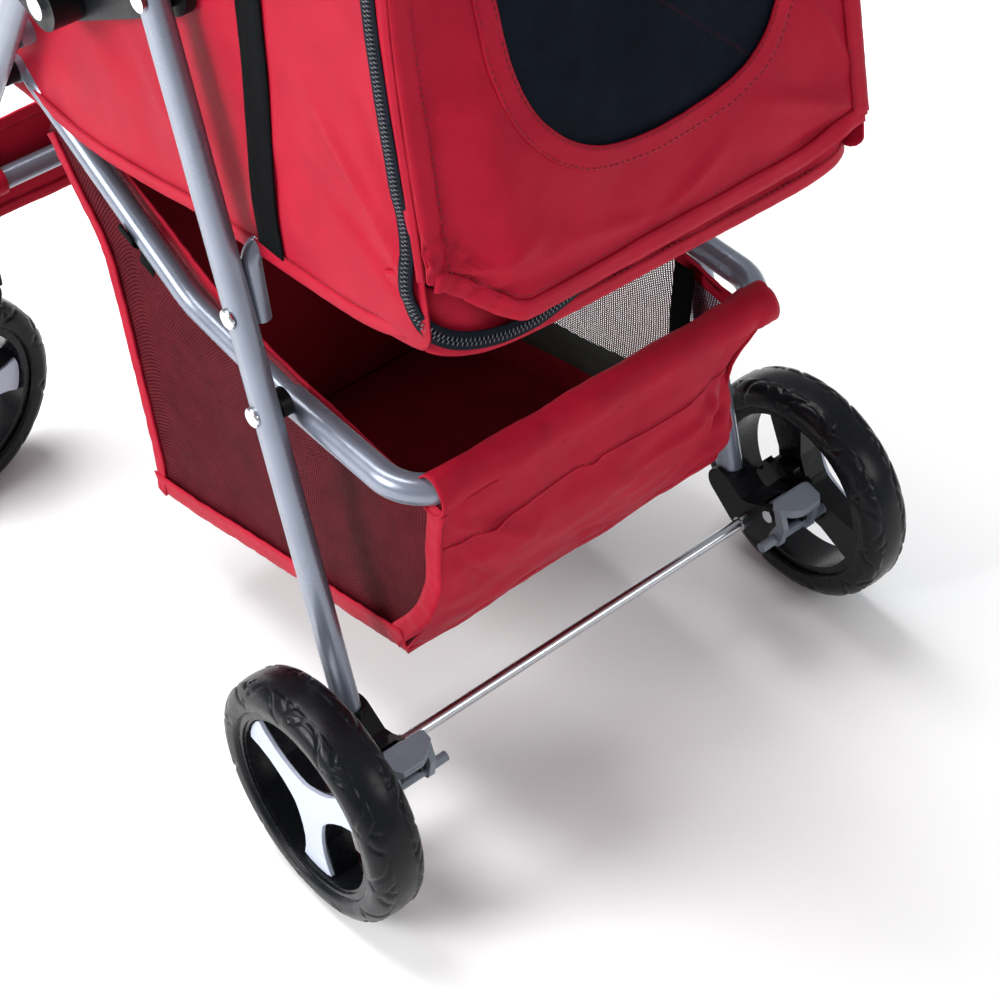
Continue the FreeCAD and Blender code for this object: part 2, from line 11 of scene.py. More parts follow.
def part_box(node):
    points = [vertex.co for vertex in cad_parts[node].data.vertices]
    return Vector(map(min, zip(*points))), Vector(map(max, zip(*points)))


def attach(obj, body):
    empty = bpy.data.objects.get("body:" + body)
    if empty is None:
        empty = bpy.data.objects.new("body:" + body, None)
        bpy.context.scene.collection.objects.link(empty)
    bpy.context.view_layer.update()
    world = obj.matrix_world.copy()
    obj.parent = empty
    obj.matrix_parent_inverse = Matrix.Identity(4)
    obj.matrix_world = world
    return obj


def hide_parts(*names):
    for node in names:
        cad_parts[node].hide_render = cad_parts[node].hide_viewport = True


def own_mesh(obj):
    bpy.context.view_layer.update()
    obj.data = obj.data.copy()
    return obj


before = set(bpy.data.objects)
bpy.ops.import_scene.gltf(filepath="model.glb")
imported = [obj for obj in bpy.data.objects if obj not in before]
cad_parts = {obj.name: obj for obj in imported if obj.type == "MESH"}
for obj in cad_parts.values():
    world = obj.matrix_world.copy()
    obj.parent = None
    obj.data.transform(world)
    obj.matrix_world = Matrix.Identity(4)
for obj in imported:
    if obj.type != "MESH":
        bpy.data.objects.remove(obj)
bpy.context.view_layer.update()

low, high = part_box("rear_axle")
AY = (low.y + high.y) * 500.0
ARCH = (-190.0, 650.0)


# ---------------------------------------------------------------- places and noise
def P(x, y, z):
    return Vector((x * 0.001, (y + AY) * 0.001, z * 0.001))


def to_frame(points):
    return (np.asarray(points, float) + np.array([0.0, AY, 0.0])) * 0.001


def mix(a, b, t):
    return a + (b - a) * t


def smooth(a, b, t):
    t = np.clip((t - a) / (b - a), 0.0, 1.0)
    return t * t * (3.0 - 2.0 * t)


def fbm(x, y, z, scale, octaves=3):
    """Smooth noise from -1 to 1 at a point in mm."""
    total, size = 0.0, 1.0
    point = Vector((x, y, z)) / scale
    for _ in range(octaves):
        total += noise.noise(point) * size
        point = point * 2.03 + Vector((7.1, 3.7, 1.9))
        size *= 0.5
    return total


def along(points, t, smooth_line=True):
    """Point at share t of a polyline's length, through a Catmull-Rom curve."""
    pts = np.asarray(points, float)
    lengths = np.concatenate([[0.0], np.cumsum(np.linalg.norm(np.diff(pts, axis=0), axis=1))])
    s = t * lengths[-1]
    i = int(np.clip(np.searchsorted(lengths, s, side="right") - 1, 0, len(pts) - 2))
    f = (s - lengths[i]) / max(lengths[i + 1] - lengths[i], 1e-9)
    if not smooth_line:
        return pts[i] + (pts[i + 1] - pts[i]) * f
    p0, p1, p2 = pts[max(i - 1, 0)], pts[i], pts[i + 1]
    p3 = pts[min(i + 2, len(pts) - 1)]
    return 0.5 * (2 * p1 + (p2 - p0) * f + (2 * p0 - 5 * p1 + 4 * p2 - p3) * f * f
                  + (3 * p1 - p0 - 3 * p2 + p3) * f ** 3)


def arc(radius, degrees):
    a = math.radians(degrees)
    return (ARCH[0] + radius * math.cos(a), ARCH[1] + radius * math.sin(a))


# ---------------------------------------------------------------- materials
class Nodes:
    """A node material being built."""

    def __init__(self, name):
        self.material = bpy.data.materials.new(name)
        self.material.use_nodes = True
        self.tree = self.material.node_tree
        self.shader = self.tree.nodes["Principled BSDF"]
        self.output = self.tree.nodes["Material Output"]

    def add(self, kind, **values):
        node = self.tree.nodes.new(kind)
        for key, value in values.items():
            if key in node.inputs:
                node.inputs[key].default_value = value
            else:
                setattr(node, key, value)
        return node

    def link(self, source, target):
        self.tree.links.new(source, target)

    def place(self, uv=False):
        return self.add("ShaderNodeTexCoord").outputs["UV" if uv else "Object"]

    def noise(self, place, scale, detail=4.0, rough=0.6):
        node = self.add("ShaderNodeTexNoise", Scale=scale, Detail=detail, Roughness=rough)
        self.link(place, node.inputs["Vector"])
        return node.outputs["Fac"]

    def math(self, operation, a, b):
        node = self.add("ShaderNodeMath", operation=operation)
        for number, value in enumerate((a, b)):
            if isinstance(value, (int, float)):
                node.inputs[number].default_value = value
            elif value is not None:
                self.link(value, node.inputs[number])
        return node.outputs[0]

    def ramp(self, source, stops):
        node = self.add("ShaderNodeValToRGB")
        elements = node.color_ramp.elements
        while len(elements) < len(stops):
            elements.new(0.5)
        for element, (place, colour) in zip(elements, stops):
            element.position = place
            element.color = (*colour, 1.0)
        self.link(source, node.inputs["Fac"])
        return node.outputs["Color"]

    def bump(self, height, strength, distance):
        node = self.add("ShaderNodeBump", Strength=strength, Distance=distance)
        self.link(height, node.inputs["Height"])
        return node

    def weave(self, place, pitch):
        """Over-and-under threads, from 0 in the gaps to 1 on a thread's crown."""
        split = self.add("ShaderNodeSeparateXYZ")
        self.link(place, split.inputs[0])
        waves = []
        for axis in (0, 1):
            turned = self.math("MULTIPLY", split.outputs[axis], math.pi / pitch)
            waves.append(self.math("SINE", turned, None))
        crossing = self.math("MULTIPLY", waves[0], waves[1])
        return self.math("ABSOLUTE", crossing, None)


def scaled(colour, factor):
    return tuple(min(1.0, c * factor) for c in colour)


def cloth_material(name, colour, pitch=0.0009, rough=0.5, sheen=0.01, shine=0.07):
    """Woven cloth: threads from its UVs, blotches and grain from its place."""
    n = Nodes(name)
    uv, spot = n.place(True), n.place()
    weave = n.weave(uv, pitch)
    blotch = n.noise(spot, 26.0, 3.0)
    grain = n.noise(spot, 2600.0, 2.0)
    base = n.ramp(blotch, [(0.3, scaled(colour, 0.9)), (0.7, scaled(colour, 1.1))])
    thread = n.add("ShaderNodeMix", data_type="RGBA", blend_type="MULTIPLY")
    thread.inputs[0].default_value = 1.0
    n.link(base, thread.inputs[6])
    n.link(n.ramp(weave, [(0.0, (0.72, 0.72, 0.72)), (0.8, (1.0, 1.0, 1.0))]), thread.inputs[7])
    n.link(thread.outputs[2], n.shader.inputs["Base Color"])
    n.link(n.ramp(grain, [(0.35, (rough + 0.1,) * 3), (0.75, (rough - 0.14,) * 3)]),
           n.shader.inputs["Roughness"])
    small = n.bump(weave, 0.35, 0.00018)
    coarse = n.bump(n.noise(spot, 900.0, 3.0), 0.12, 0.0003)
    n.link(small.outputs[0], coarse.inputs["Normal"])
    n.link(coarse.outputs[0], n.shader.inputs["Normal"])
    n.shader.inputs["Sheen Weight"].default_value = sheen
    n.shader.inputs["Sheen Roughness"].default_value = 0.4
    n.shader.inputs["Sheen Tint"].default_value = (1.0, 0.35, 0.42, 1.0)
    n.shader.inputs["Specular IOR Level"].default_value = shine
    return n.material


def net_material(name, colour, pitch, share):
    """Square net: threads with open cells between them."""
    n = Nodes(name)
    uv = n.place(True)
    split = n.add("ShaderNodeSeparateXYZ")
    n.link(uv, split.inputs[0])
    solid = []
    for axis in (0, 1):
        cell = n.math("FRACT", n.math("DIVIDE", split.outputs[axis], pitch), None)
        solid.append(n.math("LESS_THAN", cell, share))
    cover = n.math("MAXIMUM", solid[0], solid[1])
    shades = [(0.3, scaled(colour, 0.8)), (0.7, scaled(colour, 1.25))]
    tint = n.ramp(n.noise(n.place(), 60.0, 3.0), shades)
    n.link(tint, n.shader.inputs["Base Color"])
    n.shader.inputs["Roughness"].default_value = 0.6
    n.shader.inputs["Specular IOR Level"].default_value = 0.05
    clear = n.add("ShaderNodeBsdfTransparent")
    blend = n.add("ShaderNodeMixShader")
    n.link(cover, blend.inputs[0])
    n.link(clear.outputs[0], blend.inputs[1])
    n.link(n.shader.outputs[0], blend.inputs[2])
    n.link(blend.outputs[0], n.output.inputs["Surface"])
    bump = n.bump(n.noise(n.place(), 3000.0, 2.0), 0.3, 0.0002)
    n.link(bump.outputs[0], n.shader.inputs["Normal"])
    return n.material


def moulded_material(name, colour, rough, grain=1500.0, depth=0.00006, spread=0.15, gloss=0.3):
    """Moulded plastic or foam with a fine grain and worn patches."""
    n = Nodes(name)
    spot = n.place()
    shades = [(0.3, scaled(colour, 1 - spread)), (0.7, scaled(colour, 1 + spread))]
    n.link(n.ramp(n.noise(spot, 35.0, 4.0), shades), n.shader.inputs["Base Color"])
    wear = n.ramp(n.noise(spot, 90.0, 6.0, 0.7), [(0.35, (rough - 0.07,) * 3), (0.7, (rough + 0.09,) * 3)])
    n.link(wear, n.shader.inputs["Roughness"])
    n.link(n.bump(n.noise(spot, grain, 3.0), 0.35, depth).outputs[0], n.shader.inputs["Normal"])
    n.shader.inputs["Specular IOR Level"].default_value = gloss
    return n.material


def metal_material(name, colour, rough, metallic, coat=0.0):
    """Painted or bright metal with slightly worn patches."""
    n = Nodes(name)
    spot = n.place()
    shades = [(0.3, scaled(colour, 0.96)), (0.7, scaled(colour, 1.04))]
    n.link(n.ramp(n.noise(spot, 40.0, 2.0), shades), n.shader.inputs["Base Color"])
    wear = n.ramp(n.noise(spot, 45.0, 3.0, 0.5), [(0.35, (rough,) * 3), (0.75, (rough + 0.1,) * 3)])
    n.link(wear, n.shader.inputs["Roughness"])
    n.shader.inputs["Metallic"].default_value = metallic
    n.shader.inputs["Coat Weight"].default_value = coat
    n.shader.inputs["Coat Roughness"].default_value = 0.08
    return n.material


RED = (0.44, 0.010, 0.031)
MAT = {
    "red": cloth_material("red_oxford", RED),
    "binding": cloth_material("red_tape", (0.46, 0.011, 0.033), 0.0007, 0.5),
    "lining": cloth_material("red_lining", (0.22, 0.006, 0.014), 0.0009, 0.7),
    "floor_red": cloth_material("basket_floor_cloth", (0.14, 0.004, 0.009), 0.0009, 0.7),
    "coating": cloth_material("grey_coating", (0.040, 0.042, 0.038), 0.0011, 0.45, 0.0),
    # The net itself is black; its dark red colour is painted red light thrown on it by the red cloth behind.
    "net_painted_red_light": net_material("basket_net", (0.085, 0.007, 0.012), 0.0021, 0.54),
    "window_net": net_material("window_net", (0.004, 0.0065, 0.013), 0.0016, 0.76),
    "webbing": cloth_material("black_webbing", (0.004, 0.0045, 0.005), 0.0013, 0.6, 0.0, shine=0.03),
    "zip_tape": cloth_material("zip_tape", (0.005, 0.007, 0.014), 0.0007, 0.6, 0.0, shine=0.08),
    "zip_teeth": moulded_material("zip_teeth", (0.03, 0.032, 0.045), 0.22, 4000.0, gloss=0.8),
    "thread": moulded_material("thread", (0.16, 0.005, 0.012), 0.6, 5000.0),
    "paint": metal_material("silver_paint", (0.21, 0.235, 0.295), 0.27, 0.5, coat=0.3),
    "chrome": metal_material("plated_steel", (0.62, 0.63, 0.66), 0.14, 1.0),
    "axle": metal_material("bright_axle", (0.52, 0.53, 0.56), 0.22, 1.0),
    "plastic": moulded_material("black_moulding", (0.005, 0.0055, 0.007), 0.38, gloss=0.14),
    "hub": moulded_material("hub_moulding", (0.005, 0.0055, 0.007), 0.26, 2500.0, 0.00003, gloss=0.2),
    "insert": moulded_material("pale_insert", (0.50, 0.54, 0.66), 0.33, 2500.0, 0.00002, 0.03),
    "grey": moulded_material("grey_pedal", (0.13, 0.15, 0.185), 0.34, 2200.0, 0.00003, 0.08, gloss=0.5),
    "tyre": moulded_material("tyre_foam", (0.0045, 0.005, 0.0065), 0.30, 1300.0, 0.00003, 0.2, gloss=0.17),
    "grip": moulded_material("grip_foam", (0.008, 0.008, 0.009), 0.75, 900.0, 0.0004, 0.2),
    "board": moulded_material("board", (0.02, 0.02, 0.022), 0.6),
    "cushion": cloth_material("cushion_pile", (0.06, 0.06, 0.066), 0.0015, 0.85, 0.1),
}


def piece(name, points, faces, material, body, uvs=None, flat=False):
    """A mesh from points in mm, riding on a body."""
    mesh = bpy.data.meshes.new(name)
    mesh.from_pydata([tuple(p) for p in to_frame(points)], [], [tuple(f) for f in faces])
    mesh.update()
    obj = bpy.data.objects.new(name, mesh)
    bpy.context.scene.collection.objects.link(obj)
    mesh.materials.append(MAT[material])
    if uvs is not None:
        layer = mesh.uv_layers.new(name="UVMap")
        loops = np.zeros(len(mesh.loops), np.int32)
        mesh.loops.foreach_get("vertex_index", loops)
        layer.data.foreach_set("uv", np.asarray(uvs, np.float32)[loops].ravel())
    if not flat:
        mesh.polygons.foreach_set("use_smooth", [True] * len(mesh.polygons))
    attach(obj, body)
    return obj


def solidify(obj, mm, offset=0.0):
    modifier = obj.modifiers.new("thickness", "SOLIDIFY")
    modifier.thickness = mm * 0.001
    modifier.offset = offset
    return obj


def subdivide(obj, levels=1):
    modifier = obj.modifiers.new("subdivision", "SUBSURF")
    modifier.levels = levels
    modifier.render_levels = levels
    return obj


def grid_faces(nu, nv, close_u=False, close_v=False):
    """Faces of a grid of points, nv + 1 in a row, or nv where the rows close."""
    faces = []
    cols = nv if close_v else nv + 1
    for i in range(nu):
        for j in range(nv):
            a = i * cols + j
            b = i * cols + (j + 1) % cols
            last = (i + 1) % nu if close_u else i + 1
            c, d = last * cols + (j + 1) % cols, last * cols + j
            faces.append((a, d, c, b))
    return faces


def grid_uv(points, cols):
    """UVs in metres, measured along the grid's own lines."""
    table = np.asarray(points, float).reshape(-1, cols, 3) * 0.001
    du = np.linalg.norm(np.diff(table, axis=0), axis=2).mean(axis=1)
    dv = np.linalg.norm(np.diff(table, axis=1), axis=2).mean(axis=0)
    u = np.concatenate([[0.0], np.cumsum(du)])
    v = np.concatenate([[0.0], np.cumsum(dv)])
    return np.stack(np.meshgrid(u, v, indexing="ij"), axis=2).reshape(-1, 2)


def patch(name, fn, nu, nv, material, body, thick=1.2):
    """A sheet of cloth from fn(u, v), u and v from 0 to 1."""
    points = [fn(i / nu, j / nv) for i in range(nu + 1) for j in range(nv + 1)]
    obj = piece(name, points, grid_faces(nu, nv), material, body, grid_uv(points, nv + 1))
    return solidify(obj, thick) if thick else obj


def frames(path, normals, closed=False):
    """Unit tangents, sideways directions and normals along a path of points."""
    path = np.asarray(path, float)
    if closed:
        tangent = np.roll(path, -1, axis=0) - np.roll(path, 1, axis=0)
    else:
        tangent = np.gradient(path, axis=0)
    tangent /= np.linalg.norm(tangent, axis=1)[:, None]
    normals = np.broadcast_to(np.asarray(normals, float), path.shape).copy()
    normals -= tangent * (normals * tangent).sum(axis=1)[:, None]
    normals /= np.linalg.norm(normals, axis=1)[:, None]
    return path, tangent, np.cross(normals, tangent), normals


def ribbon(name, path, normals, width, thick, material, body, pucker=0.0, closed=False, crown=0.0):
    """A flat band that follows a path: sewn tape, webbing or a folded binding."""
    path, _, side, normal = frames(path, normals, closed)
    half = width / 2.0
    shape = [(-half, 0.0), (-half * 0.96, 0.5), (-half * 0.4, 0.5), (half * 0.4, 0.5),
             (half * 0.96, 0.5), (half, 0.0), (half * 0.96, -0.5), (half * 0.4, -0.5),
             (-half * 0.4, -0.5), (-half * 0.96, -0.5)]
    points, uvs = [], []
    run = np.concatenate([[0.0], np.cumsum(np.linalg.norm(np.diff(path, axis=0), axis=1))])
    for k, p in enumerate(path):
        for s, t in shape:
            lift = t * thick
            if pucker:
                lift += pucker * fbm(*(p + side[k] * s), 9.0, 2)
            if crown and abs(s) < half * 0.9:
                lift += crown * (1 if t > 0 else 0)
            points.append(p + side[k] * s + normal[k] * lift)
            uvs.append((run[k] * 0.001, (s + half) * 0.001))
    n = len(shape)
    count = len(path)
    faces = grid_faces(count if closed else count - 1, n, close_u=closed, close_v=True)
    if not closed:
        faces += [tuple(range(n)), tuple(reversed(range((count - 1) * n, count * n)))]
    return piece(name, points, faces, material, body, uvs)


def dashes(name, path, normals, body, length=2.6, gap=1.6, width=0.55, lift=0.35, material="thread"):
    """A row of stitches that stand a little proud of the cloth."""
    path, _, side, normal = frames(path, normals)
    run = np.concatenate([[0.0], np.cumsum(np.linalg.norm(np.diff(path, axis=0), axis=1))])
    points, faces = [], []
    start = gap

    def place(s):
        k = int(np.clip(np.searchsorted(run, s) - 1, 0, len(path) - 2))
        f = (s - run[k]) / max(run[k + 1] - run[k], 1e-9)
        return path[k] + (path[k + 1] - path[k]) * f, side[k], normal[k]

    while start + length < run[-1]:
        base = len(points)
        for share, rise in ((0.0, 0.0), (0.25, 1.0), (0.75, 1.0), (1.0, 0.0)):
            p, sd, nm = place(start + share * length)
            for across, up in ((-0.5, 0.0), (-0.25, 1.0), (0.25, 1.0), (0.5, 0.0)):
                points.append(p + sd * across * width + nm * (up * rise * lift))
        for i in range(3):
            for j in range(3):
                a = base + i * 4 + j
                faces.append((a, a + 4, a + 5, a + 1))
        start += length + gap
    return piece(name, points, faces, material, body)


def use(node, material):
    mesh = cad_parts[node].data
    mesh.materials.clear()
    mesh.materials.append(MAT[material])


# ---------------------------------------------------------------- cabin
SIDE_BOTTOM = {
    1: [(-478, 402), (-420, 395), (-379, 388), (-352, 388), (-285, 386), (-216, 396), (-173, 405),
        (-133, 410), (-65, 418), (-10, 425), (28, 438), (42, 452)],
    -1: [(-478, 402), (-420, 395), (-379, 388), (-352, 388), (-285, 386), (-216, 396), (-173, 405),
         (-133, 410), (-65, 418), (-4, 426), (42, 438), (60, 450)],
}
SIDE_TOP = ([(-474, 580), (-440, 622), (-405, 660), (-362, 714), (-318, 770), (-280, 822)]
            + [arc(217.0, angle) for angle in range(105, -1, -15)])
REAR_LEFT = [(50, 484), (47, 505), (39, 555), (31, 612), (28, 650)]
REAR_MIDDLE = [(71, 454), (66, 492), (56, 545), (41, 602), (29, 650)]
REAR_RIGHT = [(74, 466), (68, 492), (57, 540), (42, 602), (29, 650)]
ROOF_END = 60.0
SIDE_X = 145.6           # the side panels, from the middle
MOUTH_X = 146.6          # the bindings along the mouth and the lower hem
STRAP_X = 147.4          # the least distance of the side straps
# folds of the side panels: start and end as (y, z), height
SIDE_FOLDS = [
    ((36, 478), (-74, 590), 3.2), ((30, 470), (-60, 512), -3.0), ((34, 500), (-20, 628), -2.4),
    ((-110, 430), (-60, 540), 2.2), ((-150, 424), (-240, 520), 2.4), ((-330, 404), (-250, 500), 2.0)]
# folds of the rear panel: start and end as (x, z), height
CABIN_FOLDS = [
    ((-132, 478), (-40, 520), 3.6), ((-128, 470), (-70, 466), -3.4), ((-134, 500), (-96, 580), 3.0),
    ((132, 484), (70, 500), 3.2), ((130, 474), (40, 474), -3.0), ((0, 470), (-60, 500), 2.4),
    ((20, 474), (90, 490), 2.2)]


def side_surface(side, u, v):
    """A point of the cabin's side panel: u forwards to rearwards, v bottom to top."""
    lower, upper = along(SIDE_BOTTOM[side], u), along(SIDE_TOP, u)
    y, z = lower + (upper - lower) * v
    rear = REAR_LEFT if side > 0 else REAR_RIGHT
    hem = along(rear, min(v * 1.02, 1.0))[0]
    y += (hem - mix(lower[0], upper[0], v)) * smooth(0.9, 1.0, u) if v < 0.98 else 0.0
    free = smooth(612, 520, z) * smooth(0.0, 0.06, v) * smooth(0.0, 0.05, u) * smooth(1.0, 0.94, u)
    wave = fbm(y * 1.0, z * 0.42, 40 * side, 95.0, 2) * 5.0 + fbm(y, z * 0.6, 9 * side, 34.0, 2) * 1.3
    sag = 2.6 * math.exp(-((z - 452) / 26.0) ** 2) * smooth(0.0, 0.2, u)
    folds = sum(height * crease(y, z, start, end, 6.0) for start, end, height in SIDE_FOLDS)
    room = mix(1.8, 6.0, smooth(-120.0, -70.0, y))
    x = SIDE_X + np.clip((wave + sag + folds) * free, -6.5, room)
    x += fbm(y, z, 77 * side, 60.0, 2) * 0.9 * (1.0 - free) * smooth(0.0, 0.05, u) * smooth(1.0, 0.95, v)
    return (side * x, y, z)


def rear_surface(x, t, out=0.0):
    """A point of the rear panel: x across, t from its lower edge up over the roof's rear."""
    wall = 0.50
    if t < wall:
        f = t / wall
        left, middle, right = along(REAR_LEFT, f), along(REAR_MIDDLE, f), along(REAR_RIGHT, f)
        to_middle = smooth(146, 96, x) if x > 0 else 1.0
        y, z = left + (middle - left) * to_middle
        to_right = smooth(-92, -146, x)
        y, z = np.array([y, z]) + (right - np.array([y, z])) * to_right
        y += 2.0 * math.sin(math.pi * f) * (1 - (x / 146.0) ** 2)
        slope = (1.0, 0.25)
    else:
        angle = (t - wall) / (1.0 - wall) * ROOF_END
        y, z = arc(216.8, angle)
        slope = (math.cos(math.radians(angle)), math.sin(math.radians(angle)))
    free = smooth(0.0, 0.07, t) * smooth(1.0, 0.9, t) * smooth(146, 122, abs(x))
    lift = (fbm(x * 0.8, z * 0.55, 11.0, 80.0, 2) * 4.2 + fbm(x, z, 5.0, 27.0, 2) * 0.9) * free
    lift *= smooth(0.62, 0.5, t) * 0.8 + 0.2
    corner = math.exp(-(((x - 128) / 20.0) ** 2 + ((t - 0.05) / 0.05) ** 2))
    lift += corner * 2.4 * math.sin(x * 0.42 + z * 0.35)
    if t < wall:
        lift += sum(height * crease(x, z, start, end, 5.5) for start, end, height in CABIN_FOLDS) * free
    lift += out
    return np.array([x, y + slope[0] * lift, z + slope[1] * lift])


def rear_normal(x, t):
    a = rear_surface(x + 1.5, t) - rear_surface(x - 1.5, t)
    b = rear_surface(x, t + 0.004) - rear_surface(x, t - 0.004)
    n = np.cross(b, a)
    n /= np.linalg.norm(n)
    return n if n[1] + 0.2 * n[2] > 0 else -n


WINDOW = (-5.0, 0.3975, 95.0, 0.2275)      # middle x, middle t, half-width, half-height in t


def window_edge(turn, grow=0.0):
    a = turn * 2 * math.pi
    c, s = math.cos(a), math.sin(a)
    power = 2.0 / (2.5 if s < 0 else 3.2)
    x = WINDOW[0] + (WINDOW[2] + grow) * math.copysign(abs(c) ** power, c)
    t = WINDOW[1] + (WINDOW[3] + grow * 0.0024) * math.copysign(abs(s) ** power, s)
    return x, t


def panel_edge(turn):
    """Where a line from the window's middle leaves the rear panel."""
    a = turn * 2 * math.pi
    c, s = math.cos(a), math.sin(a)
    reach = []
    if abs(c) > 1e-6:
        reach.append(((146.0 if c > 0 else -146.0) - WINDOW[0]) / (c * WINDOW[2]))
    if abs(s) > 1e-6:
        reach.append(((1.0 if s > 0 else 0.0) - WINDOW[1]) / (s * WINDOW[3]))
    k = min(reach)
    return WINDOW[0] + c * WINDOW[2] * k, WINDOW[1] + s * WINDOW[3] * k


def build_cabin():
    body = "root"
    for side, word in ((1, "left"), (-1, "right")):
        panel = patch("cabin_%s_side" % word, lambda u, v: side_surface(side, u, v), 110, 90,
                      "red", body, 1.1)
        if side > 0:
            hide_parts("cabin_body")
        path = [side_surface(side, 0.995, v) for v in np.linspace(0.17 if side > 0 else 0.1, 1.0, 60)]
        edge = [(p[0] + side * 0.6, p[1] - 1.0, p[2]) for p in path]
        ribbon("cabin_%s_rear_piping" % word, edge, (side, 0.6, 0), 4.5, 3.0, "binding", body, 0.3)
        mouth = np.array([side_surface(side, u, 1.0) for u in np.linspace(0.0, 0.46, 60)])
        mouth[:, 0] = side * MOUTH_X
        ribbon("cabin_%s_mouth_binding" % word, mouth, (side, 0, 0), 11.0, 2.6, "binding", body, 0.35)
        strap = np.array([(side * STRAP_X, -89.5 + 4.0 * (z - 428) / 400, z)
                          for z in np.linspace(424, 826, 90)])
        under = [max(abs(side_x(side, p[1] + shift, p[2])) for shift in (-9.0, -4.0, 0.0, 4.0, 9.0))
                 for p in strap]
        under = np.convolve(np.pad(under, 3, "edge"), np.ones(7) / 7.0, "valid")
        strap[:, 0] = side * (under + 1.7)
        webbing = ribbon("side_strap_" + word, strap, (side, 0, 0), 23.0, 1.3, "webbing", body, 0.15)
        if side > 0:
            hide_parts("side_straps")
        for across in (-9.6, 9.6):
            line = strap + np.array([side * 0.75, across, 0.0])
            dashes("strap_stitch_%s_%d" % (word, int(across > 0)), line, (side, 0, 0), body, 2.4,
                   1.4, 0.4, 0.2, material="zip_tape")

    turns = 220
    rings = 26
    points, uvs = [], []
    for i in range(turns):
        x0, t0 = window_edge(i / turns)
        x1, t1 = panel_edge(angle_share(x0, t0))
        for j in range(rings + 1):
            x, t = mix(x0, x1, j / rings), mix(t0, t1, j / rings)
            points.append(rear_surface(x, t))
            uvs.append((x * 0.001, t * 0.42))
    panel = piece("cabin_rear_panel", points, grid_faces(turns, rings, close_u=True), "red", body, uvs)
    solidify(panel, 1.1)

    points, uvs = [rear_surface(WINDOW[0], WINDOW[1], -1.0)], [(0.0, 0.0)]
    rings = 20
    for j in range(1, rings + 1):
        for i in range(turns):
            x, t = window_edge(i / turns)
            f = j / rings
            x, t = mix(WINDOW[0], x, f), mix(WINDOW[1], t, f)
            dent = -1.0 - 5.0 * (1 - f * f) * 0.6
            points.append(rear_surface(x, t, dent))
            uvs.append((x * 0.001, t * 0.42))
    faces = [(0, 1 + (i + 1) % turns, 1 + i) for i in range(turns)]
    for j in range(rings - 1):
        for i in range(turns):
            a, b = 1 + j * turns + i, 1 + j * turns + (i + 1) % turns
            faces.append((a, b, b + turns, a + turns))
    net = piece("rear_window_net", points, faces, "window_net", body, uvs)

    ring = [window_edge(i / turns, 5.0) for i in range(turns)]
    path = [rear_surface(x, t, 0.9) for x, t in ring]
    normals = [rear_normal(x, t) for x, t in ring]
    ribbon("rear_window_binding", path, normals, 13.0, 1.7, "binding", body, 0.35,
           closed=True)
    for grow, number in ((10.2, 1), (0.4, 2)):
        ring = [window_edge(i / turns, grow) for i in range(turns)]
        line = [rear_surface(x, t, 1.9) for x, t in ring]
        dashes("window_stitch_%d" % number, line, [rear_normal(x, t) for x, t in ring], body)

    for name, xs, ts, inward in (
            ("left", [140.0] * 80, np.linspace(0.015, 0.98, 80), -1),
            ("right", [-140.0] * 80, np.linspace(0.015, 0.98, 80), 1),
            ("lower", np.linspace(142, -142, 110), [0.014] * 110, 0)):
        spots = list(zip(xs, ts))
        path = [rear_surface(x, t, 1.1) for x, t in spots]
        normals = [rear_normal(x, max(t, 0.02)) for x, t in spots]
        ribbon("rear_panel_%s_binding" % name, path, normals, 12.0, 2.2, "binding", body, 0.45, crown=0.4)
        if inward:
            spots = [(x + inward * 5.4, t) for x, t in spots]
        else:
            spots = [(x, t + 0.026) for x, t in spots if abs(x) < 134]
        line = [rear_surface(x, t, 1.9) for x, t in spots]
        dashes("rear_panel_%s_stitch" % name, line, [rear_normal(x, t) for x, t in spots], body)

    patch("cabin_roof", roof, 40, 70, "red", body, 1.1)
    patch("cabin_front_wall", front_wall, 60, 30, "red", body, 1.2)
    rows = [np.array(front_wall(0.985, v)) for v in np.linspace(0.0, 1.0, 90)]
    ribbon("cabin_front_binding", rows, (0, -1, 0), 11.0, 3.0, "binding", body, 0.35)
    line = [row + np.array([0.0, -1.2, -7.5]) for row in rows]
    dashes("cabin_front_stitch", line, (0, -1, 0), body)
    patch("cabin_underside", lambda u, v: (mix(-143.5, 143.5, v), mix(-470, 44, u),
                                           457.2 + 0.5 * fbm(u * 500, v * 280, 3, 50, 2)),
          60, 30, "lining", body, 1.0)
    lip_path = np.array(lower_hem())
    rear_part = lip_path[lip_path[:, 1] > 20]
    count = len(rear_part) - 1

    def lip(u, v):
        p = along(rear_part, u, False)
        tall = 20.0 + 20.0 * smooth(96, 132, p[0]) + 8.0 * smooth(-104, -134, p[0])
        ruck = 1.2 * fbm(p[0], v * 20, 2, 22, 2)
        return p + np.array([0, -6.0 * v * v + ruck * smooth(147, 120, abs(p[0])), tall * v])

    patch("cabin_rear_lip", lip, count * 2, 12, "red", body, 1.1)
    hem = lip_path + np.array([0, 0, 4.2])
    normals = [(side_sign(p) * smooth(60, 20, p[1]) * 1.0, smooth(20, 60, p[1]) + 1e-3, 0.0)
               for p in hem]
    ribbon("cabin_lower_binding", hem, normals, 9.5, 2.0, "binding", body, 0.3)
    line = hem + np.array([(n[0], n[1], 6.2) for n in normals])
    dashes("cabin_lower_stitch", line, normals, body)
    build_zip()


def angle_share(x, t):
    a = math.atan2((t - WINDOW[1]) / WINDOW[3], (x - WINDOW[0]) / WINDOW[2])
    return a / (2 * math.pi)


def side_sign(p):
    return 1.0 if p[0] > 0 else -1.0


_side_cache = {}


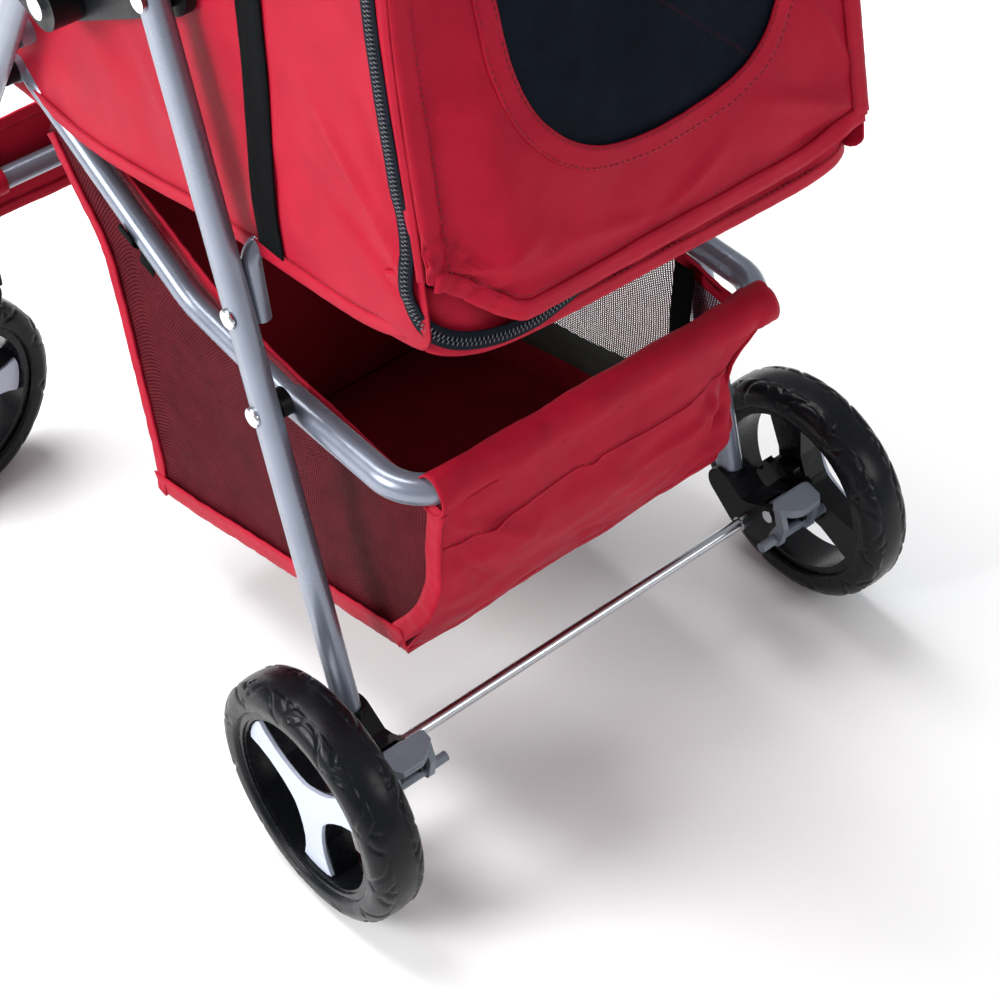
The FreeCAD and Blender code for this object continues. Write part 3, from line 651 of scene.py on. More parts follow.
def side_x(side, y, z):
    """How far out the side panel is at a place, from a table of its points."""
    if side not in _side_cache:
        rows = [side_surface(side, u, v) for u in np.linspace(0, 1, 70) for v in np.linspace(0, 1, 50)]
        _side_cache[side] = np.array(rows)
    rows = _side_cache[side]
    gap = (rows[:, 1] - y) ** 2 + (rows[:, 2] - z) ** 2
    near = np.argsort(gap)[:5]
    weight = 1.0 / (gap[near] + 4.0)
    return float((rows[near, 0] * weight).sum() / weight.sum())


def lower_hem():
    """The lower edge of the skirt, from the left front round the rear to the right front."""
    left = [(MOUTH_X, *along(SIDE_BOTTOM[1], u)) for u in np.linspace(0.02, 0.955, 90)]
    rear = [(146.0, 34, 440.5), (142.0, 46, 437), (130.0, 54, 434), (110.0, 59, 431), (70.0, 62, 430),
            (0.0, 64, 430), (-70.0, 66, 430), (-110.0, 67, 431), (-132.0, 66, 434), (-143.0, 60, 437),
            (-146.5, 48, 439)]
    right = [(-MOUTH_X, *along(SIDE_BOTTOM[-1], u)) for u in np.linspace(0.955, 0.02, 90)]
    rear = [tuple(along([left[-1]] + rear + [right[0]], t)) for t in np.linspace(0.01, 0.99, 90)]
    return left + rear + right


def roof(u, v):
    angle = mix(ROOF_END - 2.0, 105.0, u)
    x = mix(-146, 146, v)
    y, z = arc(217.3 + 1.0 * fbm(angle * 4, x, 1, 60, 2) * smooth(146, 120, abs(x)), angle)
    return (x, y, z)


def front_wall(u, v):
    x, z = mix(-146, 146, v), mix(402, 578, u)
    out = -3.0 * math.sin(math.pi * v) * math.sin(math.pi * u)
    wave = fbm(x, z, 21, 55, 2) * 2.2 * smooth(0, 0.1, v) * smooth(1, 0.9, v)
    return (x, -475.5 + 1.5 * u + out + wave, z)


def zip_path():
    """Down the left side, across below the rear panel and up the right side."""
    def beside(side):
        rear = REAR_LEFT if side > 0 else REAR_RIGHT
        rows = [(side * 147.0, *arc(202.0, angle)) for angle in np.linspace(58, 2, 22)]
        for f in np.linspace(1.0, 0.04, 26):
            y, z = along(rear, f)
            rows.append((side * 147.2, y - 14.5, z))
        return rows
    left, right = beside(1), beside(-1)[::-1]
    bottom = [(MOUTH_X, 39, 466), (143.5, 47, 455), (133.0, 56.5, 446.5), (113.0, 62.5, 442.0),
              (90.0, 64.5, 441.0), (68.0, 64.0, 444.0), (42.0, 62.0, 449.0), (0.0, 60.0, 451.0),
              (-60.0, 61.0, 451.5), (-110.0, 62.0, 453.0), (-136.0, 61.0, 457.0), (-145.5, 54, 463)]
    bottom = [tuple(along([left[-1]] + bottom + [right[0]], t)) for t in np.linspace(0.02, 0.98, 100)]
    return np.array(left + bottom + right)


def build_zip():
    path = zip_path()
    for row in path:
        if row[1] < 40 and row[2] > 470:
            side = side_sign(row)
            row[0] = side * (abs(side_x(side, row[1], row[2])) + 0.9)
        row[0] += side_sign(row) * 1.9 * smooth(504, 480, row[2]) * smooth(60, 50, row[1])
    normals = np.array([(side_sign(p) * smooth(62, 36, p[1]) + 1e-3, smooth(36, 62, p[1]) + 0.05, 0.0)
                        if p[2] < 475 else (side_sign(p), 0.0, 0.0) for p in path])
    ribbon("zip_tape", path, normals, 11.5, 1.0, "zip_tape", "root", 0.1)
    path, tangent, across, normal = frames(path, normals)
    run = np.concatenate([[0.0], np.cumsum(np.linalg.norm(np.diff(path, axis=0), axis=1))])
    points, faces = [], []
    pitch = 1.25
    for number in range(int(run[-1] / pitch)):
        s = (number + 0.5) * pitch
        k = int(np.clip(np.searchsorted(run, s) - 1, 0, len(path) - 2))
        f = (s - run[k]) / (run[k + 1] - run[k])
        middle = path[k] + (path[k + 1] - path[k]) * f + normal[k] * 1.0
        way = 1.25 if number % 2 else -1.25
        base = len(points)
        for up in (-0.55, 0.55):
            shrink = 1.0 if up < 0 else 0.7
            for a, b in ((-1, -1), (1, -1), (1, 1), (-1, 1)):
                points.append(middle + across[k] * (way + a * 1.55 * shrink)
                              + tangent[k] * (b * 0.42 * shrink) + normal[k] * up)
        faces += [tuple(base + q for q in face) for face in
                  ((0, 3, 2, 1), (4, 5, 6, 7), (0, 1, 5, 4), (1, 2, 6, 5), (2, 3, 7, 6), (3, 0, 4, 7))]
    piece("zip_teeth", points, faces, "zip_teeth", "root", flat=True)


# ---------------------------------------------------------------- hood
HOOD_START, HOOD_END = 62.5, 164.5      # degrees round the hood's pivots


def hood(u, v):
    """One sheet from the left pivot up over the bows and down to the right pivot."""
    angle = mix(HOOD_START, HOOD_END, u)
    bows = (100.0, 163.0)
    if angle < bows[0]:
        sag = 1.2 * math.sin(math.pi * (angle - HOOD_START) / (bows[0] - HOOD_START))
    else:
        sag = 3.2 * math.sin(math.pi * (min(angle, bows[1]) - bows[0]) / (bows[1] - bows[0]))
        sag *= smooth(100, 118, angle)
    radius = 225.2 - sag
    run = mix(-1.0, 1.0, v)
    side = 1.0 if run > 0 else -1.0
    share = abs(run)
    corner, top = 11.0, 139.0
    radial = radius - 15.0 - corner
    bend = corner * math.pi / 2
    total = top + bend + radial
    s = (1.0 - share) * total
    if s < radial:
        r, x = 15.0 + s, 150.0
        wave = fbm(angle * 2.2, r, 31 * side, 48.0, 2)
        x += np.clip(wave * 0.5, -0.3, 0.5) * smooth(15, 60, r)
    elif s < radial + bend:
        a = (s - radial) / corner
        r, x = radius - corner + corner * math.sin(a), 150.0 - corner + corner * math.cos(a)
    else:
        r, x = radius, top - (s - radial - bend)
        r -= 0.35 * (1 - (x / top) ** 2) * sag
        r += 0.6 * fbm(angle * 3.2, x * 0.6, 8 * side, 55.0, 2) * smooth(top, 110, abs(x)) * smooth(0, 1, sag)
    y, z = arc(r, angle)
    return (side * x, y, z)


def build_hood():
    sheet_piece = patch("hood_sheet", hood, 90, 220, "red", "canopy", 1.1)
    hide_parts("canopy")
    for word, u, width, lift, thick in (("rear", 0.012, 10.0, 1.0, 2.2), ("front", 0.985, 12.0, 2.6, 4.6)):
        rows, normals = outward(u)
        ribbon("hood_%s_binding" % word, rows + normals * lift, normals, width, thick, "binding",
               "canopy", 0.3)
    for word, angle, lift in (("middle", 100.0, 2.0), ("front", 158.5, 0.8)):
        u = (angle - HOOD_START) / (HOOD_END - HOOD_START)
        rows, normals = outward(u)
        rows = rows + normals * lift
        inner = np.linalg.norm(rows[:, 1:] - np.array(ARCH), axis=1) > 24
        ribbon("hood_%s_channel" % word, rows[inner], normals[inner], 11.0, lift + 1.4, "binding",
               "canopy", 0.25, crown=0.5)
        for shift in (-1, 1):
            line, turned = outward(u + shift * 0.016)
            keep = np.linalg.norm(line[:, 1:] - np.array(ARCH), axis=1) > 30
            dashes("hood_%s_stitch_%d" % (word, shift + 1), (line + turned * 1.0)[keep], turned[keep],
                   "canopy")


def outward(u):
    """The hood's cross line at u, with the directions that point out of it."""
    rows = np.array([hood(u, v) for v in np.linspace(0.0, 1.0, 240)])
    ahead = np.array([hood(min(u + 0.004, 1.0), v) for v in np.linspace(0.0, 1.0, 240)])
    back = np.array([hood(max(u - 0.004, 0.0), v) for v in np.linspace(0.0, 1.0, 240)])
    normals = np.cross(ahead - back, np.gradient(rows, axis=0))
    normals /= np.linalg.norm(normals, axis=1)[:, None] + 1e-9
    centre = np.array([0.0, ARCH[0], ARCH[1]])
    flip = ((rows - centre) * normals).sum(axis=1) < 0
    normals[flip] *= -1
    return rows, normals


# ---------------------------------------------------------------- basket
HALF = 130.0
FRONT_EDGE = [(-297, 76), (-294, 102), (-298, 142), (-304, 183), (-312, 239), (-323, 283),
              (-346, 313), (-370, 345)]
SIDE_LOW = [(-297, 76), (-244, 88), (-183, 105), (-125, 120), (-70, 133), (-12, 149)]
REAR_EDGE = [(-12, 149), (4, 178), (20, 215), (26, 240), (27, 268), (31.5, 302)]
SIDE_HIGH = [(-370, 345), (-345, 388), (-299, 368), (-245, 344), (-200, 324), (-139, 309),
             (-81, 304), (-25, 299), (20, 300)]


def coons(bottom, top, left, right, u, v):
    b, t = along(bottom, u), along(top, u)
    l, r = along(left, v), along(right, v)
    return ((1 - v) * b + v * t + (1 - u) * l + u * r
            - (1 - u) * (1 - v) * np.array(bottom[0]) - u * (1 - v) * np.array(bottom[-1])
            - (1 - u) * v * np.array(top[0]) - u * v * np.array(top[-1]))


def corner_pull(share, z):
    """How far the right rear corner is drawn in and forwards, share 1 at the corner."""
    amount = share * math.exp(-((z - 246) / 50.0) ** 2)
    return 20.0 * amount, -13.0 * amount


def crease(a, b, start, end, width):
    """A fold along a line from start to end, 1 at its start and fading out to its end."""
    ax, ay = end[0] - start[0], end[1] - start[1]
    length = math.hypot(ax, ay)
    run = ((a - start[0]) * ax + (b - start[1]) * ay) / length
    off = ((a - start[0]) * ay - (b - start[1]) * ax) / length
    share = run / length
    spread = width * (0.6 + 0.8 * max(share, 0.0))
    return smooth(-0.12, 0.05, share) * smooth(1.0, 0.35, share) * math.exp(-(off / spread) ** 2)


def basket_side(side, u, v):
    y, z = coons(SIDE_LOW, SIDE_HIGH, FRONT_EDGE, REAR_EDGE, u, v)
    free = smooth(0.0, 0.12, v) * smooth(1.0, 0.86, v) * smooth(0.0, 0.12, u) * smooth(1.0, 0.88, u)
    wave = fbm(y * 0.8, z * 0.5, 15 * side, 90.0, 2) * 5.0 - 2.5
    x = 129.5 + np.clip(wave * free, -8.0, 1.2)
    x -= 3.0 * smooth(0.9, 1.0, v) * smooth(0.15, 0.4, u)
    if side < 0:
        inwards, forwards = corner_pull(smooth(0.78, 1.0, u), z)
        x, y = x - inwards, y + forwards
    return (side * x, y, z)


def basket_rear(u, v):
    """The rear panel: u from left to right, v upwards from the floor's edge to the sleeve."""
    x = mix(HALF + 0.5, -HALF - 0.5, u)
    y, z = along(REAR_EDGE, v)
    free = smooth(0.0, 0.1, v) * smooth(0.0, 0.06, u) * smooth(1.0, 0.94, u) * smooth(1.0, 0.9, v)
    y += 5.0 * math.sin(math.pi * v) * (1 - (x / 130.0) ** 4)
    y += (fbm(x * 0.42, z * 0.95, 3.0, 62.0, 3) * 7.0 + fbm(x, z, 6.0, 24.0, 2) * 1.0) * free
    z += 2.5 * fbm(x, 0, 9, 60, 2) * (1 - smooth(0.0, 0.3, v))
    inwards, forwards = corner_pull(smooth(0.72, 1.0, u), z)
    y += 4.0 * math.sin((x + 0.6 * z) * 0.16) * smooth(0.78, 0.92, u) * math.exp(-((v - 0.5) / 0.3) ** 2)
    for start, end, height in REAR_FOLDS:
        y += height * crease(x, z, start, end, 5.5) * free
    x, y = x + inwards, y + forwards
    pull = smooth(0.10, 0.0, u)
    y += 3.0 * pull * math.sin(v * 9.0) * free
    return np.array([x, y, z])


def sleeve(u, v):
    """Round the rear tube: u from left to right, v round the section."""
    x = mix(HALF + 1.0, -HALF - 1.0, u)
    a = v * 2 * math.pi + math.pi * 0.5
    squeeze = 1.0 + 0.05 * math.sin(x * 0.11)
    ry, rz = 11.2 * squeeze, 11.6
    rz += 3.5 * smooth(70, 128, x) * max(0.0, math.sin(a))
    y = 21.0 + ry * math.cos(a)
    z = 305.0 + rz * math.sin(a)
    gathered = smooth(-96, -128, x)
    ruck = fbm(x * 1.6, a * 9.0, 4.0, 16.0, 2) * (0.5 + 1.8 * gathered) + 1.6 * gathered
    ruck += 0.9 * fbm(x * 0.5, a * 14.0, 8.0, 20.0, 2)
    y += math.cos(a) * max(ruck, -0.6)
    z += math.sin(a) * max(ruck, -0.6)
    return np.array([x, y, z])


REAR_FOLDS = [((-126, 250), (20, 236), 5.0), ((-124, 232), (-30, 196), -5.0),
              ((-126, 214), (-60, 160), 4.5), ((120, 286), (30, 214), 4.0), ((124, 262), (70, 180), -4.0),
              ((30, 284), (-40, 200), 3.0), ((-30, 168), (60, 214), -3.5)]


def floor_cloth(u, v):
    y, z = along(SIDE_LOW, u)
    x = mix(HALF - 0.6, -HALF + 0.6, v)
    sag = math.sin(math.pi * u) * (1 - (x / HALF) ** 2)
    z -= 3.5 * sag
    z += (fbm(x * 0.7, y, 12.0, 60.0, 3) * 3.2) * smooth(0, 0.12, u) * smooth(1, 0.88, u) * (
        1 - (x / HALF) ** 6)
    return (x, y, z)


def basket_front(u, v):
    y, z = along(FRONT_EDGE, u)
    x = mix(HALF - 0.6, -HALF + 0.6, v)
    free = math.sin(math.pi * u) * (1 - (x / HALF) ** 4)
    return (x, y - 3.0 * free + fbm(x * 0.8, z, 19, 70, 2) * 4.0 * free, z)


def in_basket(obj):
    """The cloth rides on the basket's frame; this gives each piece a mesh of its own."""
    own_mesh(obj)
    return obj


def inside_bands(low_run):
    """Turned-up floor cloth and its grey coating on the inner face of the right side."""
    bands = []
    for low, tall, material in ((16.0, 32.0, "floor_red"), (47.0, 30.0, "coating")):
        rows = np.array([basket_side(-1, u, low / 200.0) for u in np.linspace(0.04, 0.93, 80)])
        rows[:, 2] = low_run[np.linspace(3, 83, 80).astype(int), 2] + low
        rows[:, 0] += 3.2
        bands.append(ribbon("basket_right_inside_%s" % material, rows, (-1, 0, 0), tall, 1.0, material,
                            "basket_frame", 0.5))
    return bands


def build_basket():
    body = "basket_frame"
    pieces = []
    for side, word in ((1, "left"), (-1, "right")):
        net = patch("basket_%s_net" % word, lambda u, v: basket_side(side, u, v), 90, 70, "net_painted_red_light",
                    body, 0.0)
        pieces.append(net)
        low_run = [basket_side(side, u, 0.0) for u in np.linspace(0, 1, 90)]
        band = np.array(low_run) + np.array([side * 0.9, 0.0, 8.0])
        pieces.append(ribbon("basket_%s_hem" % word, band, (side, 0.1, -0.1), 18.0, 1.4, "red", body, 0.5))
        line = np.array(low_run) + np.array([side * 1.8, 0.0, 15.2])
        pieces.append(dashes("basket_%s_hem_stitch" % word, line, (side, 0, 0), body))
        front = np.array([basket_side(side, 0.0, v) for v in np.linspace(0, 1, 80)])
        front += np.array([side * 0.9, 3.4, 0.0])
        pieces.append(ribbon("basket_%s_front_binding" % word, front, (side, 0, 0), 10.0, 2.2,
                             "binding", body, 0.5))
        rear = np.array([basket_side(side, 1.0, v) for v in np.linspace(0, 0.97, 60)])
        flare = np.array([[side * 0.8, -5.0 - 8.0 * math.exp(-((v - 0.05) / 0.18) ** 2), 0.0]
                          for v in np.linspace(0, 0.97, 60)])
        pieces.append(ribbon("basket_%s_rear_flange" % word, rear + flare, (side, 0, 0), 14.0, 1.4,
                             "red", body, 0.8))
        if side < 0:
            pieces += inside_bands(np.array(low_run))
        high = np.array([basket_side(side, u, 0.985) for u in np.linspace(0.2, 0.97, 80)])
        high[:, 0] += side * 1.1
        high[:, 2] -= 3.0
        pieces.append(ribbon("basket_%s_top_binding" % word, high, (side, 0, 0), 12.0, 2.0, "binding",
                             body, 0.6))
    pieces.append(patch("basket_rear_panel", basket_rear, 90, 50, "red", body, 1.2))
    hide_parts("basket")
    points = [sleeve(i / 90, j / 36) for i in range(91) for j in range(36)]
    uvs = [(points[i * 36][0] * 0.001, j * 0.002) for i in range(91) for j in range(36)]
    tube_cover = piece("basket_sleeve", points, grid_faces(90, 36, close_v=True), "red", body, uvs)
    pieces.append(solidify(tube_cover, 1.0, 1.0))
    seam = [basket_rear(u, 0.8) + np.array([0, 1.2, 0]) for u in np.linspace(0.02, 0.98, 120)]
    pieces.append(dashes("basket_sleeve_stitch", seam, (0, 1, 0), body))
    seam = [basket_rear(u, 0.78) + np.array([0, 0.5, 0]) for u in np.linspace(0.01, 0.99, 120)]
    pieces.append(ribbon("basket_sleeve_edge", seam, (0, 1, 0), 2.2, 1.8, "red", body, 0.2))
    hem = [basket_rear(u, 0.02) + np.array([0, 1.0, 0]) for u in np.linspace(0.0, 1.0, 120)]
    pieces.append(ribbon("basket_rear_hem", hem, (0, 1, -0.4), 7.0, 2.4, "binding", body, 0.4))
    pieces.append(patch("basket_floor", floor_cloth, 60, 60, "floor_red", body, 1.2))
    pieces.append(patch("basket_front_panel", basket_front, 50, 50, "lining", body, 1.2))
    rows = np.array([(-121.5 + corner_pull(0.45, z)[0], mix(-24.0, -37.0, (z - 142) / 165.0), z)
                     for z in np.linspace(142, 303, 60)])
    pieces.append(ribbon("basket_right_strap", rows, (1, 0, 0), 18.0, 1.2, "webbing", body, 0.2))
    for side, word in ((1, "left"), (-1, "right")):
        rows = np.array([(side * mix(150.2, 131.8, smooth(340, 318, z)), mix(-264, -249, (z - 296) / 48.0), z)
                         for z in np.linspace(296, 344, 30)])
        pieces.append(ribbon("basket_%s_tab" % word, rows, (side, 0, 0), 15.0, 1.2, "webbing", body, 0.1))
    for obj in pieces:
        in_basket(obj)
    build_front_band()


def build_front_band():
    """Cloth band in front of the front crossbar, which stays in sight behind it."""
    def face(u, v):
        x, z = mix(-143, 143, u), mix(215, 289, v)
        y = -473.2 + 1.2 * fbm(x, z, 17, 45, 2) - 1.2 * math.sin(math.pi * v)
        return (x, y, z)
    band = patch("front_band", face, 80, 24, "red", "root", 1.1)
    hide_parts("basket_front_band")
    for word, v in (("upper", 0.965), ("lower", 0.035)):
        rows = [np.array(face(u, v)) for u in np.linspace(0.0, 1.0, 90)]
        ribbon("front_band_%s_binding" % word, rows, (0, -1, 0), 9.0, 2.2, "binding", "root", 0.3)
        rows = [np.array(face(u, v + (-0.07 if v > 0.5 else 0.07))) + np.array([0, 0.8, 0])
                for u in np.linspace(0.02, 0.98, 90)]
        dashes("front_band_%s_stitch" % word, rows, (0, 1, 0), "root")
    for x, word in ((134.0, "left"), (-134.0, "right")):
        loop = [(x, -463.8 + 9.4 * math.cos(a), 250 + 9.4 * math.sin(a))
                for a in np.linspace(0, 2 * math.pi, 40, endpoint=False)]
        outwards = [(0.0, math.cos(a), math.sin(a))
                    for a in np.linspace(0, 2 * math.pi, 40, endpoint=False)]
        ribbon("front_band_%s_loop" % word, loop, outwards, 16.0, 1.2, "red", "root",
               0.3, closed=True)


# ---------------------------------------------------------------- cushion
def build_cushion():
    low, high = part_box("cabin_cushion")
    bpy.ops.mesh.primitive_cube_add(size=1.0)
    block = bpy.context.object
    block.name = block.data.name = "cabin_pad"
    size = high - low
    block.scale = (size.x * 0.95, size.y * 0.965, size.z * 0.5)
    block.location = (low + high) * 0.5 - Vector((0, 0, size.z * 0.12))
    bpy.ops.object.transform_apply(location=True, rotation=False, scale=True)
    bpy.context.view_layer.objects.active = block
    bevel = block.modifiers.new("round", "BEVEL")
    bevel.width, bevel.segments = 0.005, 3
    bpy.ops.object.modifier_apply(modifier="round")
    block.data.remesh_voxel_size = 0.006
    bpy.ops.object.voxel_remesh()
    start = np.array([v.co for v in block.data.vertices])
    group = block.vertex_groups.new(name="flat")
    rest = [i for i, p in enumerate(start) if p[2] < low.z + 0.004]
    group.add(rest, 1.0, "REPLACE")
    cloth = block.modifiers.new("cloth", "CLOTH")
    settings = cloth.settings
    settings.quality = 5
    settings.use_pressure = True
    settings.uniform_pressure_force = 4.0
    settings.effector_weights.gravity = 0.0
    settings.tension_stiffness = settings.compression_stiffness = 12.0
    settings.bending_stiffness = 0.4
    settings.vertex_group_mass = "flat"
    scene = bpy.context.scene
    for number in range(1, 21):
        scene.frame_set(number)
    bpy.ops.object.modifier_apply(modifier="cloth")
    scene.frame_set(1)
    now = np.array([v.co for v in block.data.vertices])
    move = now - start
    length = np.linalg.norm(move, axis=1)
    cap = 0.010
    move *= np.minimum(1.0, cap / np.maximum(length, 1e-9))[:, None]
    now = start + move
    centre = np.array((low + high) * 0.5)
    half = np.array(size) * 0.5
    for k, p in enumerate(now):
        across, ahead = (p[0] - centre[0]) / half[0], (p[1] - centre[1]) / half[1]
        crown = (1 - across ** 4) * (1 - ahead ** 4)
        top = smooth(centre[2] - 0.004, centre[2] + 0.006, p[2])
        p[2] += 0.004 * crown * top
        for seam in (-0.5, 0.0, 0.5):
            p[2] -= 0.0055 * math.exp(-((ahead - seam) / 0.02) ** 2) * top
    now[:, 0] = np.clip(now[:, 0], low.x - 0.001, high.x + 0.001)
    now[:, 1] = np.clip(now[:, 1], low.y - 0.001, high.y + 0.001)
    now[:, 2] = np.clip(now[:, 2], low.z + 0.0002, high.z + 0.004)
    block.data.vertices.foreach_set("co", now.ravel())
    block.data.update()
    block.data.polygons.foreach_set("use_smooth", [True] * len(block.data.polygons))
    block.data.materials.clear()
    block.data.materials.append(MAT["cushion"])
    subdivide(block, 1)
    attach(block, "root")
    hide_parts("cabin_cushion")
    y0, y1 = low.y * 1000 - AY, high.y * 1000 - AY
    x1 = high.x * 1000
    z = (low.z + high.z) * 500 - 3
    corner, rows = 18.0, []
    for cx, cy, start_angle in ((x1 - corner, y1 - corner, 0), (-x1 + corner, y1 - corner, 90),
                                (-x1 + corner, y0 + corner, 180), (x1 - corner, y0 + corner, 270)):
        for a in np.linspace(start_angle, start_angle + 90, 12):
            rows.append((cx + corner * math.cos(math.radians(a)), cy + corner * math.sin(math.radians(a)), z))
    ends = []
    for a, b in zip(rows, rows[1:] + rows[:1]):
        steps = max(1, int(math.dist(a, b) / 6))
        ends += [tuple(np.array(a) + (np.array(b) - np.array(a)) * k / steps) for k in range(steps)]
    ribbon("cabin_pad_piping", ends, (0, 0, 1), 4.0, 4.0, "cushion", "root", closed=True)


# ---------------------------------------------------------------- wheels
def stroke_distance(px, py, line):
    best = 1e9
    for (ax, ay), (bx, by) in zip(line, line[1:]):
        dx, dy = bx - ax, by - ay
        t = max(0.0, min(1.0, ((px - ax) * dx + (py - ay) * dy) / (dx * dx + dy * dy)))
        best = min(best, (px - ax - dx * t) ** 2 + (py - ay - dy * t) ** 2)
    return math.sqrt(best)


def curve_line(points):
    return [tuple(along(points, i / 10)) for i in range(11)]


WHEEL_R = 85.0
REAR_WHEEL_X = 209.0
CASTER_X, CASTER_Y = 165.5, -473.0
CASTER_TRAIL, CASTER_TURN = 36.0, math.radians(79.0)
REPEATS = 11
MOTIF = 2 * math.pi * WHEEL_R / REPEATS    # length of one repeat of the tread, mm on the crown
TREAD = [curve_line(points) for points in (
    [(2, 21), (7, 14), (16, 10), (25, 11), (28, 16), (33, 18)],
    [(26, -21), (31, -14), (40, -10), (49, -11), (52, -16), (57, -18)],
)]
CHEVRONS = [[(35, 9), (39, 14), (44, 10)], [(11, -9), (15, -14), (20, -10)],
            [(40, 23), (44, 26), (49, 22)], [(16, -23), (20, -26), (25, -22)]]


def tread_table(steps, across):
    """Groove depths over one repeat: rows along the tyre, columns across it."""
    table = np.zeros((steps, len(across)))
    for i in range(steps):
        s = i * MOTIF / steps
        for j, w in enumerate(across):
            depth = 0.0
            for line in TREAD + CHEVRONS:
                for shift in (-MOTIF, 0.0, MOTIF):
                    if min(p[0] for p in line) - 4 < s - shift < max(p[0] for p in line) + 4:
                        gap = stroke_distance(s - shift, w, line)
                        depth = max(depth, math.exp(-(gap / 1.3) ** 2) * 1.1)
            table[i, j] = depth
    return table


def tyre_profile():
    """(across, radius) from lip to lip: bead, rounded shoulder and nearly flat crown."""
    half = [(15.2, 66.1), (16.6, 66.3), (17.6, 67.0), (18.1, 68.2), (18.3, 70.0), (18.5, 72.2)]
    for a in np.radians(np.linspace(4, 76, 13)):
        half.append((6.9 + 11.8 * math.cos(a), 73.1 + 11.8 * math.sin(a)))
    half += [(x, WHEEL_R - 0.012 * x * x) for x in np.linspace(8.6, 0.0, 11)]
    full = half + [(-x, r) for x, r in reversed(half[:-1])]
    return np.array([(15.2, 66.05)] + full + [(-15.2, 66.05)])


_tread = {}


def build_tyre(name, centre, axis, body, node, phase):
    profile = tyre_profile()
    run = np.concatenate([[0.0], np.cumsum(np.linalg.norm(np.diff(profile, axis=0), axis=1))])
    middle = run[-1] / 2
    across = run - middle
    around, per = REPEATS * 36, 36
    if "table" not in _tread:
        _tread["table"] = tread_table(per, across)
    table = _tread["table"]
    inward = np.gradient(profile, axis=0)
    inward = np.stack([inward[:, 1], -inward[:, 0]], axis=1)
    inward /= np.linalg.norm(inward, axis=1)[:, None]
    toward = np.array([0.0, 73.0]) - profile
    flip = (inward * toward).sum(axis=1) < 0
    inward[flip] *= -1
    axis = Vector(axis).normalized()
    up = Vector((0, 0, 1))
    ahead = up.cross(axis).normalized()
    a, b, c = np.array(axis), np.array(ahead), np.array(up)
    points = []
    for i in range(around):
        turn = 2 * math.pi * i / around + phase
        way = b * math.cos(turn) + c * math.sin(turn)
        for j, place in enumerate(profile):
            fade = smooth(29.5, 25.5, abs(across[j]))
            q = place + inward[j] * table[i % per, j] * fade
            points.append(np.array(centre) + a * q[0] + way * q[1])
    faces = grid_faces(around, len(profile) - 1, close_u=True)
    obj = piece(name, points, faces, "tyre", body)
    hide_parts(node)


def build_wheels():
    for side, word in ((1, "left"), (-1, "right")):
        centre, axis = (side * REAR_WHEEL_X, 0.0, WHEEL_R), (side, 0, 0)
        body = word + "_rear_wheel"
        build_tyre(word + "_rear_tread", centre, axis, body, word + "_rear_tyre", 0.35)
        c, s = math.cos(CASTER_TURN), math.sin(CASTER_TURN)
        centre = (side * (CASTER_X + CASTER_TRAIL * s), CASTER_Y + CASTER_TRAIL * c, WHEEL_R)
        axis = (side * c, -s, 0)
        body = word + "_front_wheel"
        build_tyre(word + "_front_tread", centre, axis, body, word + "_front_tyre", 0.1)


# ---------------------------------------------------------------- carried-over hard parts
HARD = {
    "paint": ["left_front_leg", "right_front_leg", "left_rear_leg", "right_rear_leg", "handle_tube",
              "cabin_front_bar", "basket_tube", "front_crossbar", "cabin_support_bar",
              "left_basket_link", "right_basket_link"],
    "plastic": ["left_leg_knuckle", "right_leg_knuckle", "left_handle_knuckle",
                "right_handle_knuckle", "left_caster_socket", "right_caster_socket",
                "left_caster_fork", "right_caster_fork", "left_rear_bracket", "right_rear_bracket",
                "left_fold_latch", "right_fold_latch", "cup_tray", "front_pivot_spacers",
                "link_spacers", "canopy_pivots"],
    "chrome": ["fold_pins", "front_pivot_bolts", "latch_pins", "leg_rivets", "brake_screws",
               "left_front_axle", "right_front_axle", "canopy_bows"],
    "axle": ["rear_axle"],
    "grey": ["left_brake_lever", "right_brake_lever", "left_brake_bar", "right_brake_bar"],
    "hub": ["left_rear_hub", "right_rear_hub", "left_front_hub", "right_front_hub"],
    "insert": ["left_rear_hub_cover", "right_rear_hub_cover", "left_front_hub_covers",
               "right_front_hub_covers"],
    "grip": ["handle_grip"],
    "board": ["cabin_floor_board"],
}
for material, nodes in HARD.items():
    for node in nodes:
        use(node, material)
        if material in ("paint", "chrome", "axle", "grip"):
            continue
        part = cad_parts[node]
        edges = part.modifiers.new("edges", "BEVEL")
        edges.width, edges.segments, edges.limit_method = 0.0006, 2, "ANGLE"
        edges.angle_limit = math.radians(40)
        edges.use_clamp_overlap = True

build_cabin()
build_hood()
build_basket()
build_cushion()
build_wheels()


# ---------------------------------------------------------------- floor, light and camera
def stage_material():
    n = Nodes("pale_floor")
    tint = n.ramp(n.noise(n.place(), 3.0, 3.0), [(0.3, (0.93, 0.93, 0.93)), (0.7, (0.96, 0.96, 0.96))])
    n.link(tint, n.shader.inputs["Base Color"])
    n.shader.inputs["Roughness"].default_value = 0.9
    return n.material


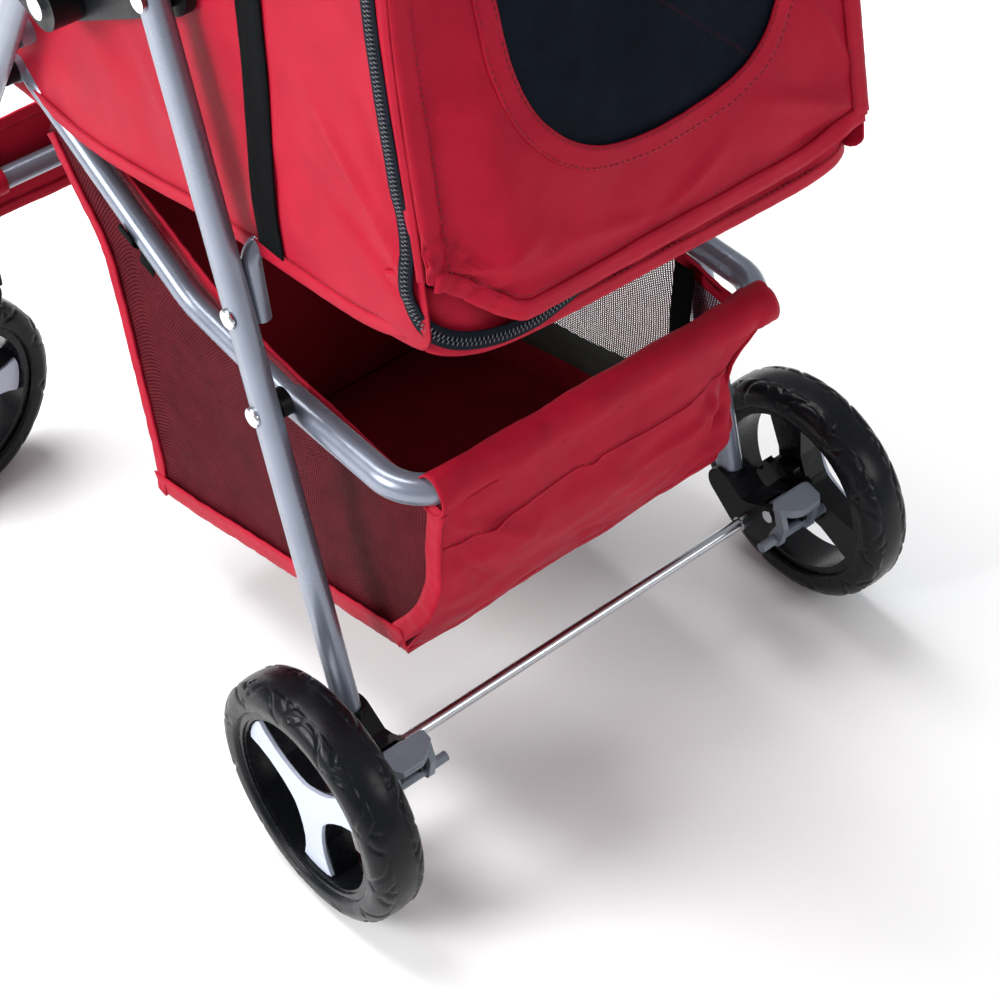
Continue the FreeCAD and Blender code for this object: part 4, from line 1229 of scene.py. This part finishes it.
bpy.ops.mesh.primitive_plane_add(size=14.0, location=(0, 0, -0.0005))
floor = bpy.context.object
floor.name = "floor"
floor.data.materials.append(stage_material())

world = bpy.data.worlds.new("studio")
bpy.context.scene.world = world
world.use_nodes = True
world.node_tree.nodes["Background"].inputs["Color"].default_value = (0.95, 0.97, 1.0, 1.0)
world.node_tree.nodes["Background"].inputs["Strength"].default_value = 0.49


def area_light(name, place, target, size, power):
    data = bpy.data.lights.new(name, "AREA")
    data.shape, data.size, data.size_y = "RECTANGLE", size[0], size[1]
    data.energy = power
    obj = bpy.data.objects.new(name, data)
    bpy.context.scene.collection.objects.link(obj)
    obj.location = place
    obj.rotation_euler = (Vector(target) - Vector(place)).to_track_quat("-Z", "Y").to_euler()
    return obj


area_light("key", (2.5, -0.5, 1.7), (0, 0.1, 0.35), (1.3, 1.1), 74)
area_light("top", (0.2, -1.0, 2.7), (0, 0.0, 0.2), (1.8, 1.8), 95)
area_light("rim", (-1.2, 2.4, 1.7), (0, 0.1, 0.3), (0.6, 0.9), 14)


def photo_camera():
    azimuth, elevation, roll = 2.45119504, 0.747674320, -0.0162483598
    back = Vector((math.sin(azimuth) * math.cos(elevation), -math.cos(azimuth) * math.cos(elevation),
                   math.sin(elevation)))
    right = (-back).cross(Vector((0, 0, 1))).normalized()
    up = right.cross(-back)
    c, s = math.cos(roll), math.sin(roll)
    across, over = right * c + up * s, up * c - right * s
    data = bpy.data.cameras.new("camera")
    data.sensor_width, data.sensor_fit = 36.0, "HORIZONTAL"
    data.lens = 84.404
    data.shift_x, data.shift_y = -0.02, -0.08
    data.clip_start, data.clip_end = 0.05, 30.0
    camera = bpy.data.objects.new("camera", data)
    bpy.context.scene.collection.objects.link(camera)
    turn = Matrix((across, over, back)).transposed()
    camera.matrix_world = Matrix.Translation(P(685.72, 773.65, 1229.42)) @ turn.to_4x4()
    bpy.context.scene.camera = camera


photo_camera()
bpy.context.scene.view_settings.view_transform = "Standard"
bpy.context.scene.view_settings.look = "None"
bpy.context.view_layer.update()
